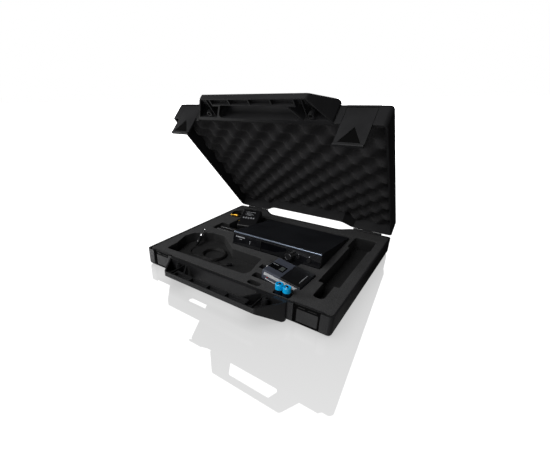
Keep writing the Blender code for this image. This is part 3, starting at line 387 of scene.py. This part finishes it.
def make_looks():
    return {
        "shell": plastic("case_black", (0.0165, 0.0165, 0.0175), 0.40),
        "latch": plastic("latch_black", (0.0185, 0.0185, 0.0195), 0.36, 2200),
        # Painted shade in the pockets: the inlay is painted darker below its top face.
        "inlay": foam("inlay_foam_grey", (0.048, 0.048, 0.049), shade_below=FOAM_TOP),
        "crate": foam("lid_foam_black", (0.0205, 0.0200, 0.0212), 700),
        "steel": metal("plain_steel", (0.58, 0.58, 0.59), 0.26),
        "bright": metal("bright_plate", (0.80, 0.80, 0.81), 0.16, (500, 500, 500)),
        "paint": plastic("receiver_paint", (0.0120, 0.0130, 0.0158), 0.50, 1800, 0.00003, 0.35),
        "trim": metal("receiver_trim", (0.235, 0.275, 0.345), 0.34, (10, 700, 700)),
        "black": plastic("black_plastic", (0.0110, 0.0110, 0.0120), 0.30, 3000, 0.00003),
        "panel": glossy("front_black", (0.0070, 0.0072, 0.0085), 0.12),
        "window": glossy("window_black", (0.0030, 0.0032, 0.0042), 0.05),
        "board": plastic("circuit_board", (0.02, 0.10, 0.04), 0.45, 1200),
        "grey": plastic("pack_blue_grey", (0.072, 0.080, 0.104), 0.34, 2600, 0.00003),
        "silver": plastic("pack_silver", (0.66, 0.67, 0.69), 0.34, 1500, 0.00002, 0.9),
        # Painted shade: near-black matte material for the sheets laid in the latch recesses in place of their
        # shade.
        "shade_sheet": plastic("painted_shade_black", (0.0025, 0.0025, 0.0025), 0.7, 1500, 0.00002, 0.05),
        "seat": plastic("latch_seat_black", (0.0260, 0.0260, 0.0270), 0.42),
        "gold": metal("plug_gold", (0.88, 0.50, 0.06), 0.28, (600, 600, 600)),
        "cord": plastic("cord_rubber", (0.0125, 0.0120, 0.0120), 0.46, 1500),
        "marks": plastic("print_pale", (0.36, 0.37, 0.39), 0.50, 1500, 0.00001),
        "lcd": plastic("display_glass", (0.095, 0.105, 0.100), 0.30, 900, 0.00001),
        "wrap": cell_wrap(),
        "lamp": lamp_red(),
    }


# ---------------------------------------------------------------- mesh helpers
def to_object(name, bm, mat, smooth=35):
    mesh = bpy.data.meshes.new(name)
    bmesh.ops.recalc_face_normals(bm, faces=bm.faces)
    bm.to_mesh(mesh)
    bm.free()
    mesh.materials.append(mat)
    mesh.shade_smooth()
    mesh.set_sharp_from_angle(angle=math.radians(smooth))
    obj = bpy.data.objects.new(name, mesh)
    bpy.context.scene.collection.objects.link(obj)
    return obj


def finish_piece(obj, body, slot, *nodes):
    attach(obj, body)
    if nodes:
        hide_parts(*nodes)
    return obj


def rounded(name, width, mat, slot, angle=32):
    """A CAD node with its edges softened, in place of the plain one."""
    source = NODES[name]
    bm = bmesh.new()
    bm.from_mesh(source.data)
    bmesh.ops.remove_doubles(bm, verts=bm.verts, dist=0.000004)
    bmesh.ops.dissolve_limit(bm, angle_limit=math.radians(0.6), verts=bm.verts, edges=bm.edges)
    obj = to_object(f"{name}_shown", bm, mat, 180)
    bevel = obj.modifiers.new("edges", "BEVEL")
    bevel.width = width
    bevel.segments = 2
    bevel.limit_method = "ANGLE"
    bevel.angle_limit = math.radians(angle)
    bevel.use_clamp_overlap = True
    even = obj.modifiers.new("normals", "WEIGHTED_NORMAL")
    even.weight = 100
    even.keep_sharp = True
    graph = bpy.context.evaluated_depsgraph_get()
    mesh = bpy.data.meshes.new_from_object(obj.evaluated_get(graph))
    obj.modifiers.clear()
    obj.data = mesh
    return finish_piece(obj, source["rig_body"], slot, name)


def add_box(bm, low, high, matrix):
    """A box between two corners of matrix's own axes."""
    low, high = Vector(low), Vector(high)
    made = bmesh.ops.create_cube(bm, size=1.0)["verts"]
    for v in made:
        v.co = matrix @ (Vector(v.co[i] * (high[i] - low[i]) + (low[i] + high[i]) / 2 for i in range(3)))


def boxes(name, rows, matrix, mat):
    """Several boxes as one piece; each row is its lowest and its highest corner."""
    bm = bmesh.new()
    for low, high in rows:
        add_box(bm, low, high, matrix)
    return to_object(name, bm, mat)


def add_turned(bm, profile, matrix, steps=32):
    """Turns a profile of (radius, height) points about matrix's own Z axis; ends on the axis close it."""
    rings = []
    for radius, height in profile:
        if radius <= 0:
            rings.append([bm.verts.new(matrix @ Vector((0, 0, height)))])
            continue
        rings.append([bm.verts.new(matrix @ Vector((radius * math.cos(a), radius * math.sin(a), height)))
                      for a in (2 * math.pi * k / steps for k in range(steps))])
    for low, high in zip(rings, rings[1:]):
        for k in range(steps):
            a, b = low[k % len(low)], low[(k + 1) % len(low)]
            c, d = high[(k + 1) % len(high)], high[k % len(high)]
            face = [v for i, v in enumerate((a, b, c, d)) if v not in (a, b, c, d)[:i]]
            bm.faces.new(face)


def turned(name, profile, matrix, mat, steps=32):
    bm = bmesh.new()
    add_turned(bm, profile, matrix, steps)
    return to_object(name, bm, mat)


def pointing(start, end):
    """Axes at start with Z towards end."""
    turn = Vector((0, 0, 1)).rotation_difference(Vector(end) - Vector(start)).to_matrix().to_4x4()
    return Matrix.Translation(start) @ turn


def smooth_route(points, spacing):
    """Catmull-Rom curve through the points, read off at even steps."""
    nodes = [Vector(p) for p in points]
    nodes = [2 * nodes[0] - nodes[1]] + nodes + [2 * nodes[-1] - nodes[-2]]
    made = [nodes[1]]
    for a, b, c, d in zip(nodes, nodes[1:], nodes[2:], nodes[3:]):
        count = max(1, round((c - b).length / spacing))
        for k in range(1, count + 1):
            t = k / count
            made.append(0.5 * (2 * b + (c - a) * t + (2 * a - 5 * b + 4 * c - d) * t * t
                               + (3 * b - a - 3 * c + d) * t ** 3))
    return made


def cord_curve(name, route, radius, mat):
    curve = bpy.data.curves.new(name, "CURVE")
    curve.dimensions = "3D"
    curve.bevel_depth = radius
    curve.bevel_resolution = 3
    curve.use_fill_caps = True
    spline = curve.splines.new("POLY")
    spline.points.add(len(route) - 1)
    for point, at in zip(spline.points, route):
        point.co = (*at, 1)
    spline.use_smooth = True
    curve.materials.append(mat)
    obj = bpy.data.objects.new(name, curve)
    bpy.context.scene.collection.objects.link(obj)
    return obj


# ---------------------------------------------------------------- cords
def coil(centre, start_angle, lanes, steps):
    """Points of a coil turned anticlockwise; lanes lists (radius, height), one for each turn it passes."""
    made = []
    for index, (here, there) in enumerate(zip(lanes, lanes[1:])):
        for k in range(steps):
            share = k / steps
            ease = share * share * (3 - 2 * share)
            radius = here[0] + (there[0] - here[0]) * ease
            height = here[1] + (there[1] - here[1]) * ease
            angle = math.radians(start_angle) + 2 * math.pi * (index + share)
            wobble = 1 + 0.012 * math.sin(2 * angle + index * 1.7)
            made.append(centre + Vector((radius * wobble * math.cos(angle),
                                         radius * wobble * math.sin(angle), height)))
    return made


def add_mic_lead(looks):
    """The clip-on microphone's lead: up to the coil, wound in three layers, and out to the capsule."""
    outer, middle, inner = COIL_R + 0.0020, COIL_R - 0.0002, COIL_R - 0.0024
    lanes = [(outer, 0.0009), (middle, 0.0009), (inner, 0.0009), (inner, 0.0030), (middle, 0.0030),
             (outer, 0.0030), (middle + 0.0008, 0.0050), (middle - 0.0006, 0.0050)]
    turns = coil(COIL_AT, 255, lanes, 30)
    turns += [COIL_AT + Vector((0.0012, -0.0248, 0.0051)), COIL_AT + Vector((0.0080, -0.0262, 0.0050))]
    onto = [MIC_ROUTE[-1], (-0.1128, -0.1118, 0.0155), turns[0]]
    off = [turns[-1], (-0.0795, -0.1146, 0.0190), (-0.0738, -0.1117, 0.0172), TAIL_ROUTE[0]]
    route = (smooth_route(MIC_ROUTE, 0.002)[:-1]
             + smooth_route(onto, 0.002)[:-1]
             + turns
             + smooth_route(off, 0.002)[1:-1]
             + smooth_route(TAIL_ROUTE, 0.002))
    lead = cord_curve("mic_lead", route, MIC_CORD_R, looks["cord"])
    finish_piece(lead, "clip_mic", "cord", "mic_lead_start", "mic_lead_coil", "mic_lead_end")
    plug = add_mic_plug(looks)
    capsule = add_capsule(looks)


def add_mic_plug(looks):
    """Jack plug: ribbed black barrel, knurled screw collar and a tipped pin."""
    way = pointing(MIC_FOOT, MIC_REST)
    profile = [(0, 0.0), (0.0019, 0.0)]
    for k in range(5):
        base = 0.0006 + 0.0015 * k
        wide = 0.0024 + 0.00035 * k
        profile += [(wide, base), (wide, base + 0.0008), (wide - 0.0006, base + 0.0010),
                    (wide - 0.0006, base + 0.0014)]
    profile += [(0.0040, 0.0092), (0.0047, 0.0115), (0.0047, 0.0170), (0.0044, 0.0173), (0.0044, 0.0179),
                (0.0047, 0.0182), (0.0046, 0.0244), (0.0043, 0.0249), (0, 0.0249)]
    barrel = turned("mic_plug_grip", profile, way, looks["black"])
    finish_piece(barrel, "clip_mic", "black_plastic", "mic_plug_barrel")
    bm = bmesh.new()
    base = way @ Matrix.Translation((0, 0, 0.0253))
    add_turned(bm, [(0, 0), (0.0046, 0), (0.0050, 0.0006), (0.0050, 0.0060), (0.0036, 0.0070),
                    (0.0034, 0.0084), (0, 0.0084)], base, 36)
    for k in range(24):
        spin = base @ Matrix.Rotation(2 * math.pi * k / 24, 4, "Z")
        add_box(bm, (0.0048, -0.0003, 0.0008), (0.0052, 0.0003, 0.0058), spin)
    collar = to_object("mic_plug_ring", bm, looks["bright"])
    finish_piece(collar, "clip_mic", "steel", "mic_plug_collar")
    pin_at = way @ Matrix.Translation((0, 0, 0.0341))
    pin = turned("mic_plug_tip", [(0, 0), (0.0017, 0), (0.0017, 0.0040), (0.0015, 0.0042), (0.0015, 0.0046),
                                  (0.0017, 0.0048), (0.0017, 0.0090), (0.0012, 0.0100), (0.0012, 0.0104),
                                  (0.0017, 0.0116), (0.0010, 0.0134), (0, 0.0140)], pin_at,
                 looks["bright"], 24)
    finish_piece(pin, "clip_mic", "steel", "mic_plug_pin")
    return barrel, collar, pin


def add_capsule(looks):
    start = Vector(TAIL_ROUTE[-1])
    way = Vector((0.010, 0.008, 0.0004)).normalized()
    at = pointing(start + way * 0.0004, start + way * 0.02)
    profile = [(0, 0), (0.0012, 0.0), (0.0020, 0.0008), (0.0029, 0.0016), (0.0029, 0.0066),
               (0.0026, 0.0068), (0.0026, 0.0071), (0.0029, 0.0073), (0.0029, 0.0110), (0.0024, 0.0119),
               (0.0021, 0.0119), (0.0021, 0.0114), (0, 0.0114)]
    capsule = turned("mic_capsule_shown", profile, at, looks["black"], 24)
    return finish_piece(capsule, "clip_mic", "black_plastic", "mic_capsule")


def add_dc_lead(looks):
    """The adapter's lead: down into its round pocket, wound up from the floor, and out to its plug."""
    wide = [0.0209, 0.0174, 0.0139]
    rise, first = 2 * DC_CORD_R, DC_CORD_R - 0.0003
    lanes = []
    for layer in range(4):
        order = wide if layer % 2 == 0 else wide[::-1]
        lanes += [(radius, first + rise * layer) for radius in order]
    down = []
    for k in range(12):
        share = k / 12
        angle = math.radians(72 + 168 * share)
        radius = 0.0197 + (0.0243 - 0.0197) * min(1.0, share * 3)
        height = 0.0158 + (first - 0.0158) * share
        down.append(DC_COIL_AT + Vector((radius * math.cos(angle), radius * math.sin(angle), height)))
    turns = coil(DC_COIL_AT, 262, lanes, 26)
    last = lanes[-1][0]
    leave, lift = (DC_COIL_AT + Vector((last * math.cos(a), last * math.sin(a), lanes[-1][1] + up))
                   for a, up in ((math.radians(262), 0.0), (math.radians(266), 0.0010)))
    route = (smooth_route(DC_ROUTE_A, 0.003)[:-1]
             + smooth_route([DC_ROUTE_A[-1], *down], 0.003)[:-1]
             + turns + [leave]
             + smooth_route([lift, DC_ROUTE_B[0]], 0.003)[:-1]
             + smooth_route(DC_ROUTE_B, 0.003))
    lead = cord_curve("adapter_lead", route, DC_CORD_R, looks["cord"])
    finish_piece(lead, "adapter", "cord", "dc_lead_start", "dc_lead_coil", "dc_lead_end")
    pieces = add_dc_plug(looks)


def add_dc_plug(looks):
    start = Vector(DC_ROUTE_B[-1])
    way = (DC_PLUG_END - start).normalized()
    at = pointing(start + way * 0.0004, DC_PLUG_END)
    profile = [(0, 0), (0.0029, 0.0), (0.0036, 0.0010), (0.0044, 0.0024)]
    for k in range(5):
        base = 0.0030 + 0.0018 * k
        profile += [(0.0046, base), (0.0046, base + 0.0010), (0.0041, base + 0.0012),
                    (0.0041, base + 0.0016)]
    profile += [(0.0045, 0.0121), (0.0042, 0.0125), (0, 0.0125)]
    grip = turned("dc_plug_body", profile, at, looks["gold"])
    finish_piece(grip, "adapter", "gold", "dc_plug_grip")
    tip_at = pointing(start + way * 0.0132, DC_PLUG_END)
    tip = turned("dc_plug_sleeve", [(0, 0.0), (0.0029, 0.0), (0.0028, 0.0090), (0.0026, 0.0094),
                                    (0.0016, 0.0094), (0.0015, 0.0020), (0, 0.0020)], tip_at,
                 looks["gold"], 24)
    finish_piece(tip, "adapter", "gold", "dc_plug_tip")
    return [grip, tip]


# ---------------------------------------------------------------- foam
def crate_rear(x):
    """How far back the lid foam reaches at x: its rear edge steps in between the hinges."""
    inner, outer = CRATE_STEP_X
    share = min(1.0, max(0.0, (abs(x) - inner) / (outer - inner)))
    return CRATE_Y[1] - CRATE_STEP * (1 - share)


def crate_thickness(x, y):
    """The egg crate's waves, with a little unevenness that only ever thins them."""
    full = CRATE_BACK - CRATE_CREST
    wave = (math.cos(2 * math.pi * (x - EGG_SHIFT[0]) / EGG_X)
            * math.cos(math.pi * (y - EGG_SHIFT[1]) / EGG_Y))
    fat = math.copysign(abs(wave) ** 1.05, wave)
    small = 0.0006 * noise.noise(Vector((x * 60, y * 60, 0.0)))
    return EGG_BASE + (full - EGG_BASE) * (0.5 + 0.5 * fat) + min(0.0, small)


def add_egg_crate(looks):
    """Egg-crate lining, drawn in the closed lid's axes and turned with it."""
    bm = bmesh.new()
    grid = []
    for j in range(CRATE_ROWS + 1):
        row = []
        for i in range(CRATE_COLUMNS + 1):
            x = CRATE_X * (2 * i / CRATE_COLUMNS - 1)
            y = CRATE_Y[0] + (crate_rear(x) - CRATE_Y[0]) * j / CRATE_ROWS
            row.append(bm.verts.new(LID @ Vector((x, y, CRATE_BACK - crate_thickness(x, y)))))
        grid.append(row)
    for a, b in zip(grid, grid[1:]):
        for i in range(CRATE_COLUMNS):
            bm.faces.new((a[i], a[i + 1], b[i + 1], b[i]))
    back = LID.inverted()
    rim = [e for e in bm.edges if e.is_boundary]
    made = bmesh.ops.extrude_edge_only(bm, edges=rim)["geom"]
    down = [g for g in made if isinstance(g, bmesh.types.BMVert)]
    for v in down:
        flat = back @ v.co
        v.co = LID @ Vector((flat.x, flat.y, CRATE_BACK))
    bmesh.ops.holes_fill(bm, edges=[e for e in bm.edges if e.is_boundary], sides=0)
    crate = to_object("lid_egg_crate", bm, looks["crate"], 50)
    finish_piece(crate, "lid", "lid_foam", "lid_foam")


def add_inlay(looks):
    inlay = rounded("foam_inlay", 0.0009, looks["inlay"], "inlay_foam", 30)


# ---------------------------------------------------------------- case
def add_case(looks):
    rounded("base_shell", 0.0006, looks["shell"], "case_plastic")
    rounded("lid_shell", 0.0006, looks["shell"], "case_plastic")
    for side in ("left", "right"):
        rounded(f"latch_{side}", 0.0004, looks["latch"], "case_plastic")


def add_latch_seats(looks):
    """In each latch recess of the base: a plate framed by painted shade, a near-black sheet standing in for
    the shade of a deeper recess, and the catch's two hooks.
    """
    floor = BASE_FRONT + 0.0038
    behind, shade_front, seat_front = floor + 0.0002, floor - 0.00006, floor - 0.00016
    for side, word in ((-1, "left"), (1, "right")):
        x = side * LATCH_X
        # Painted shade: a near-black sheet around and behind the plate, just proud of the recess floor.
        shade_sheet = boxes(f"latch_shade_sheet_{word}", [((x - 0.0222, shade_front, 0.0012), (x + 0.0222, behind, 0.0372))],
                    Matrix(), looks["shade_sheet"])
        rows = [((x - 0.0172, seat_front, 0.0050), (x + 0.0180, behind, 0.0285)),
                ((x - 0.0150, seat_front, 0.0320), (x - 0.0040, behind, 0.0330)),
                ((x + 0.0010, seat_front, 0.0318), (x + 0.0150, behind, 0.0326))]
        plate = boxes(f"latch_seat_{word}", rows, Matrix(), looks["seat"])
        finish_piece(shade_sheet, "case_base", "case_plastic")
        finish_piece(plate, "case_base", "case_plastic")


def add_latch_triangles(looks):
    """Painted shade on the floor of each latch's triangular finger recess: a near-black sheet, drawn in the
    closed lid's axes.
    """
    floor = BASE_FRONT + 0.0010
    for side, word in ((-1, "left"), (1, "right")):
        x = side * LATCH_X
        bm = bmesh.new()
        outline = [(x - 0.0160, 0.0073), (x + 0.0160, 0.0073), (x, 0.0334)]
        corners = [LID @ Vector((a, y, b)) for y in (floor - 0.0001, floor + 0.0003) for a, b in outline]
        front, back = [bm.verts.new(c) for c in corners[:3]], [bm.verts.new(c) for c in corners[3:]]
        bm.faces.new(front)
        bm.faces.new(back[::-1])
        for k in range(3):
            bm.faces.new((front[k - 1], back[k - 1], back[k], front[k]))
        # Painted shade: this near-black sheet darkens the recess floor.
        mark = to_object(f"latch_triangle_{word}", bm, looks["shade_sheet"])
        finish_piece(mark, f"latch_{word}", "case_plastic")


# ---------------------------------------------------------------- receiver
def add_receiver(looks):
    rounded("receiver_cover", 0.0005, looks["paint"], "receiver_paint")
    rounded("receiver_front_panel", 0.0003, looks["panel"], "black_plastic")
    NODES["receiver_front_trim"].data.materials[0] = looks["trim"]
    NODES["receiver_window"].data.materials[0] = looks["window"]
    add_knob(looks)
    add_receiver_marks(looks)


def on_front(corners, proud):
    """Boxes on the receiver's front from (left, low, right, high), standing proud of it."""
    return [((left, -proud, low), (right, 0.0001, high)) for left, low, right, high in corners]


def add_receiver_marks(looks):
    """Plain light marks in place of the printing, and the window's narrow frame."""
    edge = -RX_W / 2
    rows = on_front([(edge + 0.0070, 0.0240, edge + 0.0095, 0.0268),
                     (edge + 0.0110, 0.0242, edge + 0.0300, 0.0264),
                     (edge + 0.0165, 0.0200, edge + 0.0230, 0.0209),
                     (-0.0582, 0.0196, -0.0566, 0.0222),
                     (-0.0578, 0.0150, -0.0570, 0.0186),
                     (0.0545, 0.0236, 0.0569, 0.0243),
                     (0.0770, 0.0236, 0.0790, 0.0256)], 0.00025)
    marks = boxes("receiver_print", rows, RECEIVER, looks["marks"])
    finish_piece(marks, "receiver", "trim_metal")
    left, low, right, high, thin = -0.0312, 0.0044, 0.0302, 0.0300, 0.0008
    sides = on_front([(left, low, left + thin, high), (right - thin, low, right, high),
                      (left, low, right, low + thin), (left, high - thin, right, high)], 0.0005)
    frame_piece = boxes("receiver_window_frame", sides, RECEIVER, looks["black"])
    finish_piece(frame_piece, "receiver", "black_plastic")


def add_knob(looks):
    """Jog knob with fine grip ribs and two pale arc marks on its face."""
    out = RECEIVER @ Matrix.Translation(KNOB_AT) @ Matrix.Rotation(math.radians(90), 4, "X")
    bm = bmesh.new()
    add_turned(bm, [(0, -0.0060), (0.0030, -0.0060), (0.0030, 0.0005), (0.0082, 0.0005), (0.0083, 0.0012),
                    (0.0078, 0.0112), (0.0066, 0.0126), (0.0052, 0.0127), (0.0050, 0.0122), (0, 0.0122)],
               out, 48)
    for k in range(32):
        spin = out @ Matrix.Rotation(2 * math.pi * k / 32, 4, "Z")
        add_box(bm, (0.0074, -0.00032, 0.0012), (0.0085, 0.00032, 0.0108), spin)
    knob = to_object("receiver_knob_ribbed", bm, looks["black"])
    finish_piece(knob, "jog_knob", "black_plastic", "receiver_jog_knob")
    bm = bmesh.new()
    for start in (20, 200):
        for k in range(7):
            spin = out @ Matrix.Rotation(math.radians(start + 9 * k), 4, "Z")
            add_box(bm, (0.0055, -0.0005, 0.0125), (0.0061, 0.0005, 0.01285), spin)
    arcs = to_object("receiver_knob_marks", bm, looks["marks"])
    finish_piece(arcs, "jog_knob", "trim_metal")


# ---------------------------------------------------------------- pack
def add_pack(looks):
    top = PACK_T / 2
    rounded("pack_housing", 0.0004, looks["grey"], "pack_grey")
    rounded("pack_battery_cover", 0.0003, looks["black"], "black_plastic")
    NODES["pack_display_window"].data.materials[0] = looks["window"]
    NODES["pack_side_strip"].data.materials[0] = looks["silver"]
    NODES["pack_red_lamp"].data.materials[0] = looks["lamp"]
    lcd = boxes("pack_lcd", [((-0.0165, -0.0092, top), (-0.0085, 0.0035, top + 0.0005))], PACK,
                looks["lcd"])
    finish_piece(lcd, "pack", "pack_silver")
    marks = boxes("pack_print", [((-0.0355, 0.0018, top), (-0.0235, 0.0028, top + 0.0005))], PACK,
                  looks["marks"])
    finish_piece(marks, "pack", "pack_silver")
    line = boxes("pack_cover_print", [((0.0300, -0.0170, top - 0.0001), (0.0311, 0.0130, top + 0.0003))],
                 PACK, looks["marks"])
    finish_piece(line, "pack_cover", "pack_silver")


# ---------------------------------------------------------------- adapter
def add_adapter(looks):
    for half in ("upper", "lower"):
        rounded(f"adapter_{half}_shell", 0.0004, looks["black"], "black_plastic")
    z = AD_T / 2
    rows = [(-0.0150, 0.0190, 0.0130), (-0.0120, 0.0145, 0.0060), (-0.0135, 0.0105, 0.0110),
            (-0.0100, 0.0070, 0.0070)]
    bars = [((x, y, z - 0.0001), (x + 2 * long, y + 0.0012, z + 0.0002)) for x, y, long in rows]
    bars += [((-0.0170 + 0.0066 * k, -0.0040, z - 0.0001), (-0.0130 + 0.0066 * k, 0.0008, z + 0.0002))
             for k in range(5)]
    marks = boxes("adapter_print", bars, ADAPTER, looks["marks"])
    finish_piece(marks, "adapter", "pack_silver")


# ---------------------------------------------------------------- antennas and cells
def add_antennas(looks):
    """Rod antennas: a moulded rod that tapers, and a dark metal bayonet collar at its foot."""
    for word in "ab":
        low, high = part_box(f"rod_antenna_{word}")
        centre = (low + high) / 2
        at = pointing((high.x, centre.y, centre.z), (low.x, centre.y, centre.z))
        rod = turned(f"antenna_rod_{word}",
                     [(0, 0.0146), (0.0046, 0.0146), (0.0047, 0.0165), (0.0043, 0.0290), (0.0040, 0.0292),
                      (0.0038, 0.0690), (0.0030, 0.0714), (0, 0.0720)], at, looks["black"])
        finish_piece(rod, f"rod_antenna_{word}", "black_plastic", f"rod_antenna_{word}")
        bm = bmesh.new()
        add_turned(bm, [(0.0030, 0.0004), (0.0048, 0.0), (0.0053, 0.0005), (0.0053, 0.0046), (0.0058, 0.0050),
                        (0.0058, 0.0130), (0.0052, 0.0142), (0.0046, 0.0144), (0, 0.0144)], at, 36)
        for k in range(20):
            spin = at @ Matrix.Rotation(2 * math.pi * k / 20, 4, "Z")
            add_box(bm, (0.0056, -0.0004, 0.0058), (0.0060, 0.0004, 0.0122), spin)
        collar = to_object(f"antenna_collar_{word}", bm, looks["steel"])
        finish_piece(collar, f"rod_antenna_{word}", "steel")


def add_cells(looks):
    for word in "ab":
        NODES[f"cell_{word}"].data.materials[0] = looks["wrap"]
        NODES[f"cell_{word}_contact"].data.materials[0] = looks["bright"]


# ---------------------------------------------------------------- the rest of the CAD's pieces
def paint_frame(looks):
    plan = {
        "steel": ["hinge_pin_left", "hinge_pin_right", "latch_pin_left", "latch_pin_right",
                  "receiver_chassis", "receiver_rear_panel", "receiver_antenna_socket_a",
                  "receiver_antenna_socket_b", "receiver_screw_1", "receiver_screw_2",
                  "receiver_screw_3", "receiver_screw_4", "pack_lead_socket"],
        "silver": ["pack_belt_clip"],
        "black": ["receiver_escape_button", "receiver_power_button", "receiver_power_inlet",
                  "pack_mute_switch"],
        "board": ["receiver_circuit_board"],
        "gold": ["adapter_mains_pin_left", "adapter_mains_pin_right"],
        "cord": ["adapter_strain_relief", "pack_antenna"],
    }
    for key, names in plan.items():
        for name in names:
            NODES[name].data.materials[0] = looks[key]


def main():
    add_camera()
    looks = make_looks()
    add_mic_lead(looks)
    add_dc_lead(looks)
    add_egg_crate(looks)
    add_inlay(looks)
    add_case(looks)
    add_latch_seats(looks)
    add_latch_triangles(looks)
    add_receiver(looks)
    add_pack(looks)
    add_adapter(looks)
    add_antennas(looks)
    add_cells(looks)
    paint_frame(looks)
    add_studio()


main()
